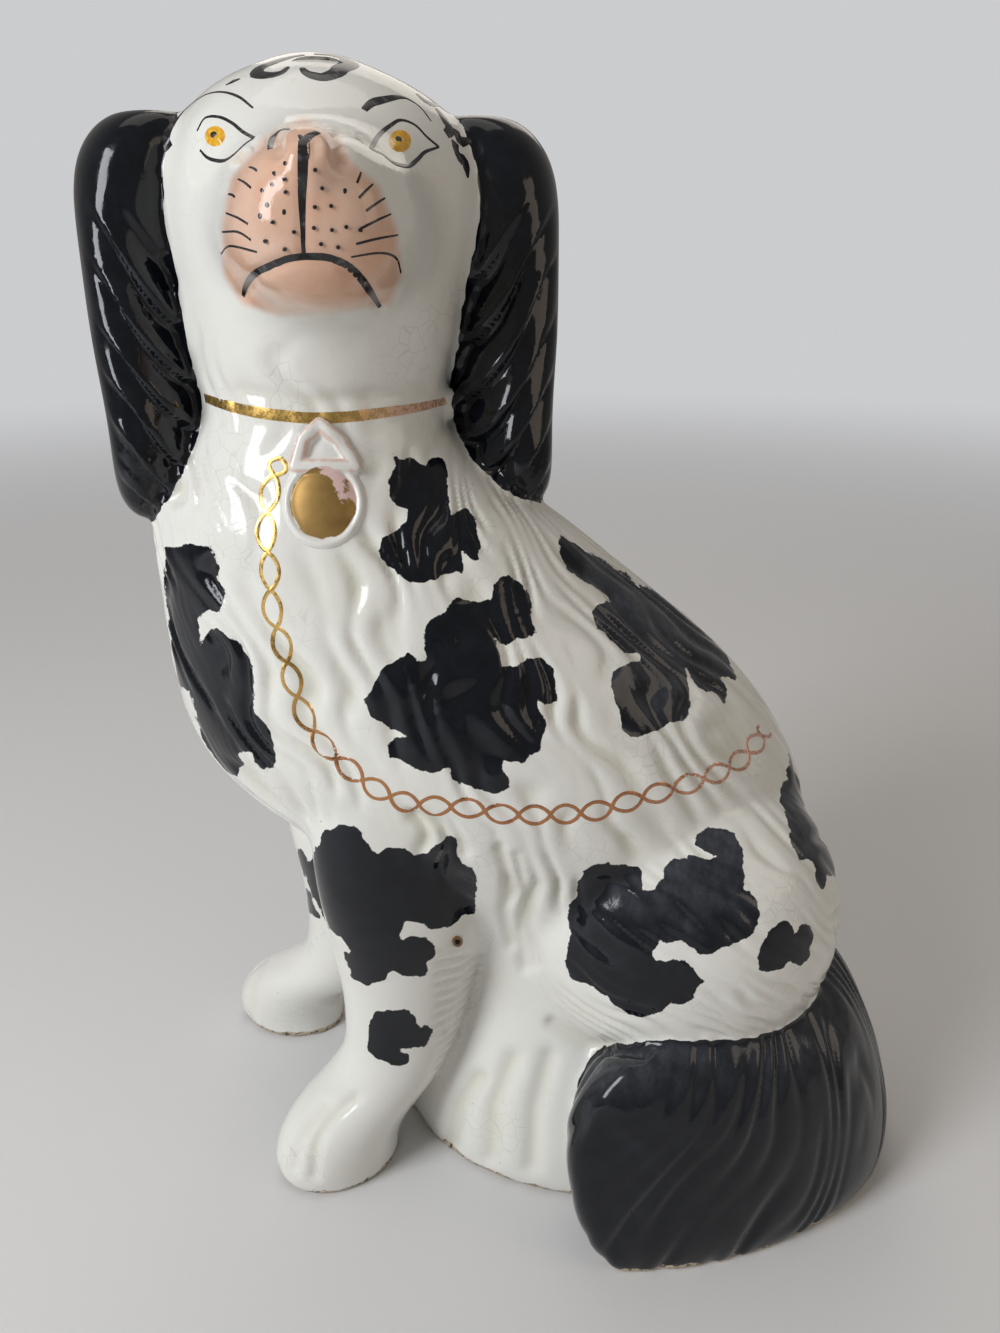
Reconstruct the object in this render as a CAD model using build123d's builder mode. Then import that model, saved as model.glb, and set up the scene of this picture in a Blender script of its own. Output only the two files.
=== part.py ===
from build123d import *
from math import cos, radians, sin
import os

# A seated spaniel figure in glazed earthenware, pressed hollow in a two part mould.
# The dog sits facing -X with its head turned to -Y, the side that is shown on a shelf.
# +Z is up and the table is at z = 0. All sizes are in millimetres.

# Clay walls and joints
wall = 6.0  # thickness of the pressed body wall
leg_wall = 5.0  # thickness of the foreleg and tail walls
ear_wall = 5.5  # thickness of the ear walls
slab_thickness = 7.0  # bat of clay that closes the base
roll_width = 14.0  # roll of clay pressed over the inside of the seam
roll_thickness = 3.0
blank_size = (400.0, 300.0)  # sheet of clay that the slab and the roll are trimmed from
air_hole_radius = 2.5  # lets the firing air out through the base slab
pierced_radius = 2.5  # hole through the body wall behind each hollow piece
ear_hole_height = 270.0
ear_hole_reach = (22.0, 44.0)  # from inside the head to inside the ear
leg_hole_heights = (92.0, 145.0)  # from inside the leg to inside the chest
tail_hole_start = (50.0, -30.0, 35.0)
tail_hole_end = (50.0, -60.0, 35.0)
pinhole_radius = 0.9  # pinhole in the back of the near foreleg

# The parting plane of the mould stands upright and passes under the crown of the head
seam_turn = -7.0  # degrees from the X axis
seam_point = (-65.0, 12.0)

# Rings of body, neck and head from the table up:
# height, centre x, centre y, half length, half depth
body_turn = -10.0  # degrees, the long axis of every ring
body_rings = [
    (0.0, 18.0, 1.0, 70.0, 50.0),
    (26.0, 18.0, 1.0, 70.0, 50.0),
    (48.0, 20.0, 1.0, 65.0, 45.0),
    (70.0, 20.0, 2.0, 63.0, 43.0),
    (92.0, 13.5, 3.0, 68.0, 43.5),
    (115.0, -4.0, 6.0, 80.5, 49.0),
    (140.0, -21.0, 9.0, 87.5, 54.0),
    (165.0, -34.0, 12.0, 81.0, 53.0),
    (190.0, -49.0, 14.0, 66.5, 48.0),
    (209.0, -60.5, 15.0, 54.0, 42.0),
    (225.0, -66.5, 15.0, 39.0, 36.0),
    (238.0, -66.5, 14.0, 32.0, 32.0),
    (252.0, -66.0, 13.0, 34.5, 33.5),
    (264.0, -65.0, 12.0, 35.5, 35.0),
    (278.0, -63.5, 11.0, 38.0, 36.5),
    (290.0, -63.0, 11.0, 38.7, 36.5),
    (302.0, -63.2, 11.0, 34.0, 32.0),
    (310.0, -64.0, 11.0, 25.0, 24.0),
    (315.5, -64.4, 11.0, 13.0, 13.0),
    (317.6, -64.5, 11.0, 3.0, 3.0),
]

# Head, turned a little past the display side
head_turn = -5.0  # degrees
skull_centre = (-64.0, 11.0, 283.0)

# Muzzle rings from the skull outwards: distance, half width, half height
muzzle_drop = 2.5  # how far the muzzle's middle lies below the skull's centre
muzzle_across = 1.0  # how far it lies to the dog's left
muzzle_rings = [
    (14.0, 33.0, 25.0),
    (28.0, 27.0, 22.0),
    (40.0, 22.5, 19.5),
    (49.0, 19.3, 17.5),
    (56.0, 15.5, 15.0),
    (60.5, 10.0, 10.5),
    (62.0, 4.0, 4.5),
]
nose_radius = 8.0
nose_reach = 56.0  # from the skull's centre to the nose's centre
nose_rise = 6.5  # above the skull's centre

# Eyes, low domes on the skull
eye_radius = 10.0
eye_centres = [(-84.5, -6.5, 296.0), (-50.5, -12.0, 295.5)]

# Ears, one each side of the skull: height, distance out, half width, half depth
ear_back = 2.0  # how far the ears lie behind the skull's centre
ear_rings = [
    (208.5, 50.0, 3.0, 5.0),
    (214.0, 48.5, 9.0, 13.0),
    (225.0, 46.0, 12.5, 19.0),
    (240.0, 45.0, 13.5, 21.5),
    (262.0, 45.5, 13.8, 21.5),
    (284.0, 45.5, 13.5, 20.0),
    (296.0, 43.0, 13.5, 18.0),
    (302.0, 40.0, 12.0, 15.0),
    (305.0, 38.0, 7.0, 9.0),
]

# Haunches, one each side, placed from the middle of the base along the body's axis
haunch_radius = 50.0
haunch_bulge = 43.0
haunch_behind = 15.0
haunch_out = 18.5
haunch_height = 87.0
haunch_angles = (-20, 0, 20, 40, 58, 73, 86)  # degrees up the dome, one for each circle

# Hind feet in front of the haunches, rings: height, half length, half width
foot_ahead = 31.0
foot_out = 19.0
foot_splay = 33.0  # degrees between a foot and the body's axis
foot_rings = [
    (0.0, 50.0, 21.0),
    (14.0, 50.0, 21.5),
    (28.0, 47.0, 19.5),
    (39.0, 40.0, 15.0),
    (46.0, 28.0, 8.0),
]

# Foreleg rings from the table up: height, share of the way from paw to shoulder,
# half length, half width
leg_rings = [
    (0.0, 0.00, 18.5, 14.0),
    (10.0, -0.03, 20.5, 16.0),
    (20.0, 0.13, 20.5, 16.3),
    (30.0, 0.42, 20.0, 16.0),
    (41.0, 0.70, 18.8, 15.7),
    (53.0, 0.84, 19.5, 16.0),
    (67.0, 0.91, 21.5, 17.2),
    (83.0, 0.97, 25.0, 19.5),
    (100.0, 1.00, 28.5, 21.5),
    (117.0, 1.00, 30.0, 21.0),
    (134.0, 1.00, 30.5, 19.0),
]
near_paw = (-77.0, -13.0)
near_shoulder = (-50.0, -12.0)
near_paw_turn = 18.0  # degrees, toes out
far_paw = (-90.0, 59.0)
far_shoulder = (-59.0, 31.0)
far_paw_turn = -24.0

# Tail, curled round the base from the rump to the front of the haunch.
# Every level is a height and the outline of the tail there, seen from above.
tail_levels = [
    (0.0, [(2, -73), (30, -75), (60, -70), (82, -60), (95, -46), (100, -27), (94, -6),
           (66, 0), (30, -20), (2, -40)]),
    (14.0, [(-7, -71), (26, -76), (60, -72), (84, -62), (98, -46), (103, -27), (97, -6),
            (66, 0), (30, -20), (-4, -42)]),
    (32.0, [(-11, -67), (20, -74), (54, -71), (79, -61), (95, -44), (100, -26), (94, -5),
            (66, 0), (30, -20), (-7, -42)]),
    (50.0, [(-9, -64), (18, -71), (48, -68), (73, -57), (89, -40), (94, -24), (89, -5),
            (66, 0), (30, -20), (-5, -44)]),
    (63.0, [(1, -62), (20, -66), (44, -62), (66, -51), (82, -36), (87, -22), (83, -5),
            (64, -2), (32, -22), (5, -46)]),
    (71.0, [(18, -58), (30, -59), (46, -54), (62, -44), (75, -32), (80, -21), (76, -8),
            (60, -6), (36, -26), (20, -48)]),
]

# Padlock, a sprig luted to the chest under the collar
lock_centre = (-69.8, -22.0, 219.3)
lock_turn = -3.0  # degrees
lock_lean = 20.0  # degrees that the lock's top leans in
lock_width = 16.5
lock_height = 18.5
lock_depth = 3.0  # how far it stands out from its centre
lock_edge = 1.4
shackle_radius = 6.2  # of the middle of its bar
shackle_bar = 3.0
shackle_rise = 8.5
shackle_depth = 2.2

# Pinhole, where steam left the near foreleg
pinhole_centre = (-36.0, -30.0, 88.5)
pinhole_length = 18.0


# Horizontal oval with its long axis turned from the X axis
def ring(x, y, z, half_length, half_width, turn):
    direction = (cos(radians(turn)), sin(radians(turn)), 0)
    with BuildSketch(Plane((x, y, z), x_dir=direction, z_dir=(0, 0, 1))) as outline:
        Ellipse(half_length, half_width)
    return outline.sketch.face()


# Point on the table, ahead of the base's middle and out to one side of the body
def from_base(ahead, out, side):
    turn = radians(body_turn)
    middle_x, middle_y = body_rings[0][1], body_rings[0][2]
    x = middle_x - ahead * cos(turn) + side * out * -sin(turn)
    y = middle_y - ahead * sin(turn) + side * out * cos(turn)
    return x, y


# Thigh as a low dome of circles on one side of the body
def haunch(side, inset):
    x, y = from_base(-haunch_behind, haunch_out, side)
    turn = radians(body_turn)
    outward = (-side * sin(turn), side * cos(turn), 0)
    outlines = []
    for angle in haunch_angles:
        out = (haunch_bulge - inset) * sin(radians(angle))
        centre = (x + out * outward[0], y + out * outward[1], haunch_height)
        with BuildSketch(Plane(centre, x_dir=(cos(turn), sin(turn), 0), z_dir=outward)) as outline:
            Circle((haunch_radius - inset) * cos(radians(angle)))
        outlines.append(outline.sketch.face())
    with BuildPart() as thigh:
        loft(sections=outlines)
    return thigh.part


def hind_foot(side, inset):
    x, y = from_base(foot_ahead, foot_out, side)
    turn = body_turn + side * foot_splay
    outlines = [
        ring(x, y, z - inset * (z > 0), half_length - inset, half_width - inset, turn)
        for z, half_length, half_width in foot_rings
        if half_width > inset + 1
    ]
    with BuildPart() as foot:
        loft(sections=outlines)
    return foot.part


# Point in front of the skull's centre, towards the face
def face_point(out, rise, across=0.0):
    turn = radians(head_turn)
    x = skull_centre[0] + out * sin(turn) + across * cos(turn)
    y = skull_centre[1] - out * cos(turn) + across * sin(turn)
    return x, y, skull_centre[2] + rise


def muzzle(inset):
    turn = radians(head_turn)
    outlines = []
    for out, half_width, half_height in muzzle_rings:
        if half_height <= inset:
            continue
        origin = face_point(out - inset, -muzzle_drop, muzzle_across)
        plane = Plane(origin, x_dir=(cos(turn), sin(turn), 0), z_dir=(sin(turn), -cos(turn), 0))
        with BuildSketch(plane) as outline:
            Ellipse(half_width - inset, half_height - inset)
        outlines.append(outline.sketch.face())
    with BuildPart() as snout:
        loft(sections=outlines)
    return snout.part


# Trunk, neck and skull in one sweep of ovals, smaller all round by the inset
def trunk(inset):
    outlines = [
        ring(x, y, z, half_length - inset, half_width - inset, body_turn)
        for z, x, y, half_length, half_width in body_rings
        if half_width > 2 * inset
    ]
    with BuildPart() as core:
        loft(sections=outlines)
    return core.part


# The trunk with haunches, hind feet and muzzle, and outside also the nose and the eyes
def body(inset):
    with BuildPart() as form:
        add(trunk(inset))
        add(haunch(-1, inset))
        add(haunch(1, inset))
        add(hind_foot(-1, inset))
        add(hind_foot(1, inset))
        add(muzzle(inset))
        if not inset:
            with Locations(face_point(nose_reach, nose_rise)):
                Sphere(nose_radius)
            with Locations(*eye_centres):
                Sphere(eye_radius)
    return form.part


def ear(side, inset):
    low, high = ear_rings[0][0], ear_rings[-1][0]
    outlines = []
    for z, out, half_width, half_depth in ear_rings:
        if inset and not low + inset <= z <= high - inset:
            continue
        centre = face_point(-ear_back, z - skull_centre[2], side * out)
        outlines.append(ring(*centre, half_width - inset, half_depth - inset, head_turn))
    with BuildPart() as flap:
        loft(sections=outlines)
    return flap.part


def foreleg(paw, shoulder, paw_turn, inset):
    outlines = []
    for z, share, half_length, half_width in leg_rings:
        if inset and z < leg_rings[1][0]:
            continue
        x = paw[0] + share * (shoulder[0] - paw[0])
        y = paw[1] + share * (shoulder[1] - paw[1])
        outlines.append(ring(x, y, z, half_length - inset, half_width - inset, paw_turn))
    with BuildPart() as leg:
        loft(sections=outlines)
    return leg.part


def tail_form(inset):
    outlines = []
    for z, points in tail_levels:
        height = min(max(z, inset), tail_levels[-1][0] - inset)
        loop = []
        for i, (x, y) in enumerate(points):
            before = Vector(*points[i - 1])
            after = Vector(*points[(i + 1) % len(points)])
            along = (after - before).normalized()
            loop.append((x - along.Y * inset, y + along.X * inset))
        with BuildSketch(Plane.XY.offset(height)) as outline:
            with BuildLine():
                Spline(*loop, periodic=True)
            make_face()
        outlines.append(outline.sketch.face())
    if inset:
        outlines = outlines[:1] + outlines[2:-1]
    with BuildPart() as brush:
        loft(sections=outlines)
    return brush.part


# Round hole pricked from one point to another
def piercing(start, end):
    way = Vector(*end) - Vector(*start)
    with BuildPart() as hole:
        with BuildSketch(Plane(start, z_dir=way)):
            Circle(pierced_radius)
        extrude(amount=way.length)
    return hole.part


# The mould's parting plane and the half spaces on its two sides
parting = Plane(
    (seam_point[0], seam_point[1], 0),
    x_dir=(cos(radians(seam_turn)), sin(radians(seam_turn)), 0),
    z_dir=(sin(radians(seam_turn)), -cos(radians(seam_turn)), 0),
)

outer = body(0)
cavity = body(wall)

# Holes pierced through the body wall so that no hollow piece traps air
holes = []
for side in (-1, 1):
    inside, outside = (
        face_point(-ear_back, ear_hole_height - skull_centre[2], side * reach)
        for reach in ear_hole_reach
    )
    holes.append(piercing(inside, outside))
for x, y in (near_shoulder, far_shoulder):
    holes.append(piercing((x, y, leg_hole_heights[0]), (x, y, leg_hole_heights[1])))
holes.append(piercing(tail_hole_start, tail_hole_end))

with BuildPart() as front_pressing:
    add(outer)
    add(cavity, mode=Mode.SUBTRACT)
    split(bisect_by=parting, keep=Keep.TOP)
    for hole in holes:
        add(hole, mode=Mode.SUBTRACT)
front_pressing.part.label = "front_pressing"

with BuildPart() as back_pressing:
    add(outer)
    add(cavity, mode=Mode.SUBTRACT)
    split(bisect_by=parting, keep=Keep.BOTTOM)
    for hole in holes:
        add(hole, mode=Mode.SUBTRACT)
back_pressing.part.label = "back_pressing"

with BuildPart() as base_slab:
    with BuildSketch(Plane.XY):
        Rectangle(*blank_size)
    extrude(amount=slab_thickness)
    add(cavity, mode=Mode.INTERSECT)
    with BuildSketch(Plane.XY):
        with Locations((body_rings[0][1], body_rings[0][2])):
            Circle(air_hole_radius)
    extrude(amount=slab_thickness, mode=Mode.SUBTRACT)
base_slab.part.label = "base_slab"

with BuildPart() as seam_roll:
    with BuildSketch(parting):
        with Locations((0, blank_size[0] / 2)):
            Rectangle(blank_size[0], blank_size[0] - 2 * slab_thickness)
    extrude(amount=roll_width / 2, both=True)
    add(trunk(wall), mode=Mode.INTERSECT)
    add(trunk(wall + roll_thickness), mode=Mode.SUBTRACT)
seam_roll.part.label = "seam_roll"

with BuildPart() as left_ear:
    add(ear(1, 0))
    add(ear(1, ear_wall), mode=Mode.SUBTRACT)
    add(outer, mode=Mode.SUBTRACT)
left_ear.part.label = "left_ear"

with BuildPart() as right_ear:
    add(ear(-1, 0))
    add(ear(-1, ear_wall), mode=Mode.SUBTRACT)
    add(outer, mode=Mode.SUBTRACT)
right_ear.part.label = "right_ear"

with BuildPart() as left_foreleg:
    add(foreleg(near_paw, near_shoulder, near_paw_turn, 0))
    add(foreleg(near_paw, near_shoulder, near_paw_turn, leg_wall), mode=Mode.SUBTRACT)
    add(outer, mode=Mode.SUBTRACT)
    with BuildSketch(Plane(pinhole_centre, z_dir=(0, 1, 0))):
        Circle(pinhole_radius)
    extrude(amount=pinhole_length, mode=Mode.SUBTRACT)
left_foreleg.part.label = "left_foreleg"

with BuildPart() as right_foreleg:
    add(foreleg(far_paw, far_shoulder, far_paw_turn, 0))
    add(foreleg(far_paw, far_shoulder, far_paw_turn, leg_wall), mode=Mode.SUBTRACT)
    add(outer, mode=Mode.SUBTRACT)
right_foreleg.part.label = "right_foreleg"

with BuildPart() as tail:
    add(tail_form(0))
    add(tail_form(leg_wall), mode=Mode.SUBTRACT)
    add(outer, mode=Mode.SUBTRACT)
tail.part.label = "tail"

lock_lay = Plane(lock_centre, x_dir=(1, 0, 0), z_dir=(0, -1, 0)).rotated((-lock_lean, 0, lock_turn))
with BuildPart() as padlock:
    with BuildSketch(lock_lay):
        Ellipse(lock_width / 2, lock_height / 2)
    extrude(amount=lock_depth, both=True)
    fillet(padlock.edges().sort_by(Axis.Y)[0], lock_edge)
    with BuildSketch(lock_lay):
        with Locations((0, shackle_rise)):
            Circle(shackle_radius + shackle_bar / 2)
            Circle(shackle_radius - shackle_bar / 2, mode=Mode.SUBTRACT)
    extrude(amount=shackle_depth, both=True)
    add(outer, mode=Mode.SUBTRACT)
padlock.part.label = "padlock"

os.makedirs("parts", exist_ok=True)
pieces = [
    front_pressing,
    back_pressing,
    base_slab,
    seam_roll,
    left_ear,
    right_ear,
    left_foreleg,
    right_foreleg,
    tail,
    padlock,
]
for piece in pieces:
    export_step(piece.part, f"parts/{piece.part.label}.step")
    print(piece.part.label, len(piece.part.solids()), round(piece.part.volume / 1000), "cm3")
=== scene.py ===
from math import cos, pi, radians, sin

import bmesh
import bpy
import numpy as np
from mathutils import Matrix, Vector, noise
from mathutils.bvhtree import BVHTree


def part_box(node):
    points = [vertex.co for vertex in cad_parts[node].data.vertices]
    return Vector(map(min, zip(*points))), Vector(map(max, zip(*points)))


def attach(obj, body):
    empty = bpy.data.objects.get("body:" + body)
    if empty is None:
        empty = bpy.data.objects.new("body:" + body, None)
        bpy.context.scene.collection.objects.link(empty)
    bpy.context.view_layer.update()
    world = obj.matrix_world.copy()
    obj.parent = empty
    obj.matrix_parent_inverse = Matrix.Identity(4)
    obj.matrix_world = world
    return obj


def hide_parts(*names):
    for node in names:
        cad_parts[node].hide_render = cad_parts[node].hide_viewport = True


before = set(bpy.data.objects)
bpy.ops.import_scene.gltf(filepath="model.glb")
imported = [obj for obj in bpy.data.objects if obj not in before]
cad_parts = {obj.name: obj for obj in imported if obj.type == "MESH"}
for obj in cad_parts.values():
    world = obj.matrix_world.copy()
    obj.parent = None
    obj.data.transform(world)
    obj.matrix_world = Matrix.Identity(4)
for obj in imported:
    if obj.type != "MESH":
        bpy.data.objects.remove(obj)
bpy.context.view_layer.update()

mm = 0.001
print("frame loaded")


# Where the photograph was taken from, in metres and degrees, and its size in pixels
shot = {
    "width": 1000,
    "height": 1333,
    "focal": 1004,  # pixels
    "place": (-0.078, -0.265, 0.2726),
    "azimuth": -12.0,
    "elevation": 21.94,
    "sensor": 36.0,
    "nearest": 0.01,
}


def shotAxes():
    turn = radians(shot["azimuth"])
    rise = radians(shot["elevation"])
    right = Vector((cos(turn), sin(turn), 0))
    back = Vector((sin(turn) * cos(rise), -cos(turn) * cos(rise), sin(rise)))
    return right, back.cross(right), back


def seePixels(points):
    # pixel across, pixel down and distance ahead of the camera, for an array of points
    right, up, back = (np.array(a) for a in shotAxes())
    away = points - np.array(shot["place"])
    ahead = np.maximum(-(away @ back), 1e-4)
    across = shot["width"] / 2 + shot["focal"] * (away @ right) / ahead
    down = shot["height"] / 2 - shot["focal"] * (away @ up) / ahead
    return across, down, ahead


def pixelRay(x, y):
    right, up, back = shotAxes()
    way = right * (x - shot["width"] / 2) - up * (y - shot["height"] / 2) - back * shot["focal"]
    return Vector(shot["place"]), way.normalized()


def addCamera():
    data = bpy.data.cameras.new("photoCamera")
    camera = bpy.data.objects.new("photoCamera", data)
    bpy.context.scene.collection.objects.link(camera)
    data.sensor_width = shot["sensor"]
    data.sensor_fit = "VERTICAL"
    data.sensor_height = shot["sensor"]
    data.lens = shot["focal"] / shot["height"] * shot["sensor"]
    data.clip_start = shot["nearest"]
    right, up, back = shotAxes()
    turned = Matrix((right, up, back)).transposed().to_4x4()
    camera.matrix_world = Matrix.Translation(Vector(shot["place"])) @ turned
    bpy.context.scene.camera = camera


addCamera()
print("camera placed")


# The outer skin of the whole figure: the nodes joined, their holes stopped, and one surface over all
skinSet = {
    "voxel": 1.0 * mm,
    "nodes": ["front_pressing", "back_pressing", "base_slab", "left_ear", "right_ear",
              "left_foreleg", "right_foreleg", "tail"],
    "weld": 0.001 * mm,
    # middle and radius of each stop
    "airHole": ((0.018, 0.001, 0.004), 4.5 * mm),  # in the base slab
    "pinhole": ((-0.0375, -0.0235, 0.0885), 2.2 * mm),  # in the near foreleg
    "earGap": ((-0.0335, 0.003, 0.238), 4.0 * mm),  # between the neck and the left ear
}


def meshObject(name, mesh):
    piece = bpy.data.objects.new(name, mesh)
    bpy.context.scene.collection.objects.link(piece)
    return piece


def freshMesh(bm, name):
    mesh = bpy.data.meshes.new(name)
    bm.to_mesh(mesh)
    bm.free()
    return mesh


def joinNodes(names):
    bm = bmesh.new()
    for name in names:
        bm.from_mesh(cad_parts[name].data)
    bmesh.ops.remove_doubles(bm, verts=bm.verts, dist=skinSet["weld"])
    return bm


def laySkin():
    bm = joinNodes(skinSet["nodes"])
    for hole in ("airHole", "pinhole", "earGap"):
        middle, radius = skinSet[hole]
        stop = Matrix.Translation(Vector(middle))
        bmesh.ops.create_icosphere(bm, subdivisions=2, radius=radius, matrix=stop)
    raw = meshObject("rawSkin", freshMesh(bm, "rawSkin"))
    remesh = raw.modifiers.new("remesh", "REMESH")
    remesh.mode = "VOXEL"
    remesh.voxel_size = skinSet["voxel"]
    bpy.context.view_layer.update()
    done = bpy.data.meshes.new_from_object(raw.evaluated_get(bpy.context.evaluated_depsgraph_get()))
    bpy.data.objects.remove(raw)
    return done


skin = laySkin()
print("skin laid,", len(skin.vertices), "points")


def readPoints(mesh):
    flat = np.empty(len(mesh.vertices) * 3)
    mesh.vertices.foreach_get("co", flat)
    return flat.reshape(-1, 3)


def writePoints(mesh, points):
    mesh.vertices.foreach_set("co", points.ravel())
    mesh.update()


def readNormals(mesh):
    flat = np.empty(len(mesh.vertices) * 3)
    mesh.vertex_normals.foreach_get("vector", flat)
    return flat.reshape(-1, 3)


edgeEnds = np.empty(len(skin.edges) * 2, dtype=np.int64)
skin.edges.foreach_get("vertices", edgeEnds)
edgeEnds = edgeEnds.reshape(-1, 2)
count = len(skin.vertices)
degree = np.bincount(edgeEnds.ravel(), minlength=count).astype(float)


def meanOfNeighbours(values):
    total = np.bincount(edgeEnds[:, 0], weights=values[edgeEnds[:, 1]], minlength=count)
    total += np.bincount(edgeEnds[:, 1], weights=values[edgeEnds[:, 0]], minlength=count)
    return total / degree


def relax(values, rounds, share=0.5):
    # soften numbers or points over the skin, everywhere or by a share for each point
    for _ in range(rounds):
        if values.ndim == 1:
            values = values + share * (meanOfNeighbours(values) - values)
        else:
            moved = np.stack([meanOfNeighbours(values[:, i]) for i in range(3)], axis=1)
            values = values + (share * (moved.T - values.T)).T
    return values


# Which node each point of the skin lies on
def findOwners(points):
    corners = []
    faces = []
    owner = []
    for i, name in enumerate(skinSet["nodes"]):
        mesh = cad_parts[name].data
        start = len(corners)
        corners += [v.co.copy() for v in mesh.vertices]
        faces += [[start + k for k in p.vertices] for p in mesh.polygons]
        owner += [i] * len(mesh.polygons)
    tree = BVHTree.FromPolygons(corners, faces)
    return np.array([owner[tree.find_nearest(Vector(p))[2]] for p in points])


points = readPoints(skin)
owners = findOwners(points)
share = {}
for index, nodeName in enumerate(skinSet["nodes"]):
    share[nodeName] = relax((owners == index).astype(float), 4)
share["legs"] = share["left_foreleg"] + share["right_foreleg"]
share["body"] = share["front_pressing"] + share["back_pressing"] + share["base_slab"]
print("owners found")


def smoothstep(low, high, values):
    t = np.clip((values - low) / (high - low), 0, 1)
    return t * t * (3 - 2 * t)


# Soften the steps of the voxels, and run the legs, muzzle and haunches into the body
joinSet = {
    "grainRounds": 5,
    "legWidth": 10,  # rounds that spread the leg's joint
    "legRounds": 60,
    "legGain": 1.3,
    "bodyRounds": 14,
    "share": 0.6,
    "legTop": (0.070, 0.100),  # heights between which the legs begin to melt into the chest
    "footTop": 0.004,  # height up to which the foot stays as it is
    "skull": (-0.064, 0.011, 0.283),
    "headTurn": -5.0,
    "muzzleRoot": (0.030, 0.012),  # distance ahead of the skull's centre, and reach of the softening
    "muzzleLow": (0.246, 0.262),
    "muzzleRounds": 120,
    # where the muzzle meets the brow and cheeks, in pixels of the photograph, and the reach
    "browLine": [(222, 215), (226, 180), (245, 148), (275, 122), (322, 113), (357, 122), (390, 155),
                 (404, 196), (410, 238), (404, 270)],
    "browReach": 15,
    "browRounds": 160,
}


def lineGap(line, u, v):
    best = np.full(len(u), 1e9)
    for (x0, y0), (x1, y1) in zip(line, line[1:]):
        dx, dy = x1 - x0, y1 - y0
        t = np.clip(((u - x0) * dx + (v - y0) * dy) / (dx * dx + dy * dy), 0, 1)
        best = np.minimum(best, np.hypot(u - x0 - t * dx, v - y0 - t * dy))
    return best


points = relax(points, joinSet["grainRounds"])
legJoin = relax(share["legs"], joinSet["legWidth"])
legJoin = 4 * legJoin * (1 - legJoin) * smoothstep(*joinSet["legTop"], points[:, 2])
legJoin = np.clip(legJoin * joinSet["legGain"], 0, 1) * joinSet["share"]
points = relax(points, joinSet["legRounds"], legJoin)
headTurn = radians(joinSet["headTurn"])
fromSkull = points - np.array(joinSet["skull"])
faceward = fromSkull[:, 0] * sin(headTurn) - fromSkull[:, 1] * cos(headTurn)
rootAhead, rootReach = joinSet["muzzleRoot"]
muzzleJoin = np.exp(-((faceward - rootAhead) / rootReach) ** 2)
muzzleJoin *= smoothstep(*joinSet["muzzleLow"], points[:, 2])
points = relax(points, joinSet["muzzleRounds"], joinSet["share"] * muzzleJoin * share["body"])
writePoints(skin, points)
across, down, ahead = seePixels(points)
seen = (readNormals(skin) * (np.array(shot["place"]) - points)).sum(axis=1) > 0
browJoin = np.exp(-(lineGap(joinSet["browLine"], across, down) / joinSet["browReach"]) ** 2) * seen
points = relax(points, joinSet["browRounds"], joinSet["share"] * relax(browJoin, 2))
floorFree = smoothstep(0.0, joinSet["footTop"], points[:, 2])
points = relax(points, joinSet["bodyRounds"], 0.5 * share["body"] * floorFree)
writePoints(skin, points)
normals = readNormals(skin)
print("joins softened")


# Relief, pressed in with the mould. Depths are in metres, and every ridge is cut inwards.
def noiseOver(*columns):
    return np.array([noise.noise(Vector(c)) for c in zip(*columns)])


ridgeSet = {
    "drift": 2.5,  # width of the wander, in spacings
    "sharpness": 1.7,
    "fade": (1.3, 0.8),  # size of the patches that come and go, in spacings and in lengths
    "level": 0.6,
    "contrast": 1.5,
    "limits": (0.05, 1.4),
    "fadeSeed": 7.3,
}


def ridges(across, along, spacing, length, wander, seed):
    # soft wavy folds that lie along the lines of equal across, and fade in and out
    drift = noiseOver(across / (ridgeSet["drift"] * spacing), along / length, np.full(count, seed))
    phase = across / spacing + wander * drift
    fold = (0.5 - 0.5 * np.cos(2 * pi * phase)) ** ridgeSet["sharpness"]
    wide, long = ridgeSet["fade"]
    fade = noiseOver(across / (wide * spacing), along / (long * length),
                     np.full(count, seed + ridgeSet["fadeSeed"]))
    return fold * np.clip(ridgeSet["level"] + ridgeSet["contrast"] * fade, *ridgeSet["limits"])


# Each coat gives its ridges as spacing, length, wander and seed
coatSet = {
    "ridges": (8.5 * mm, 19 * mm, 1.6, 3.0),
    "lean": 0.35,
    "fine": (2.6 * mm, 14 * mm, 1.0, 11.0),
    "fineLean": 0.3,
    "fineShare": 0.08,
    "depth": 1.35 * mm,
    "axis": (-0.030, 0.012),  # upright line that the coat fans out from
    "radius": 0.062,
    "low": (0.095, 0.115),  # heights between which it begins, and ends
    "high": (0.222, 0.232),
    "padlock": (324, 490),  # pixel round which the chest is plain
    "plain": (38, 62),
}
haunchSet = {
    "ridges": (5.0 * mm, 20 * mm, 1.2, 5.0),
    "depth": 0.85 * mm,
    "centre": (0.036, 0.087),  # x and z of the thigh's middle
    "radius": (0.040, 0.054),
    "side": (0.030, 0.044),
    "low": (0.03, 0.05),
    "bend": 4.0,
}
neckSet = {
    "ridges": (5.0 * mm, 16 * mm, 1.2, 9.0),
    "radius": 0.035,
    "low": (0.226, 0.234),
    "high": (0.250, 0.262),
    "depth": 0.7 * mm,
}

x, y, z = points.T
across, down, ahead = seePixels(points)
sink = np.zeros(count)

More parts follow.
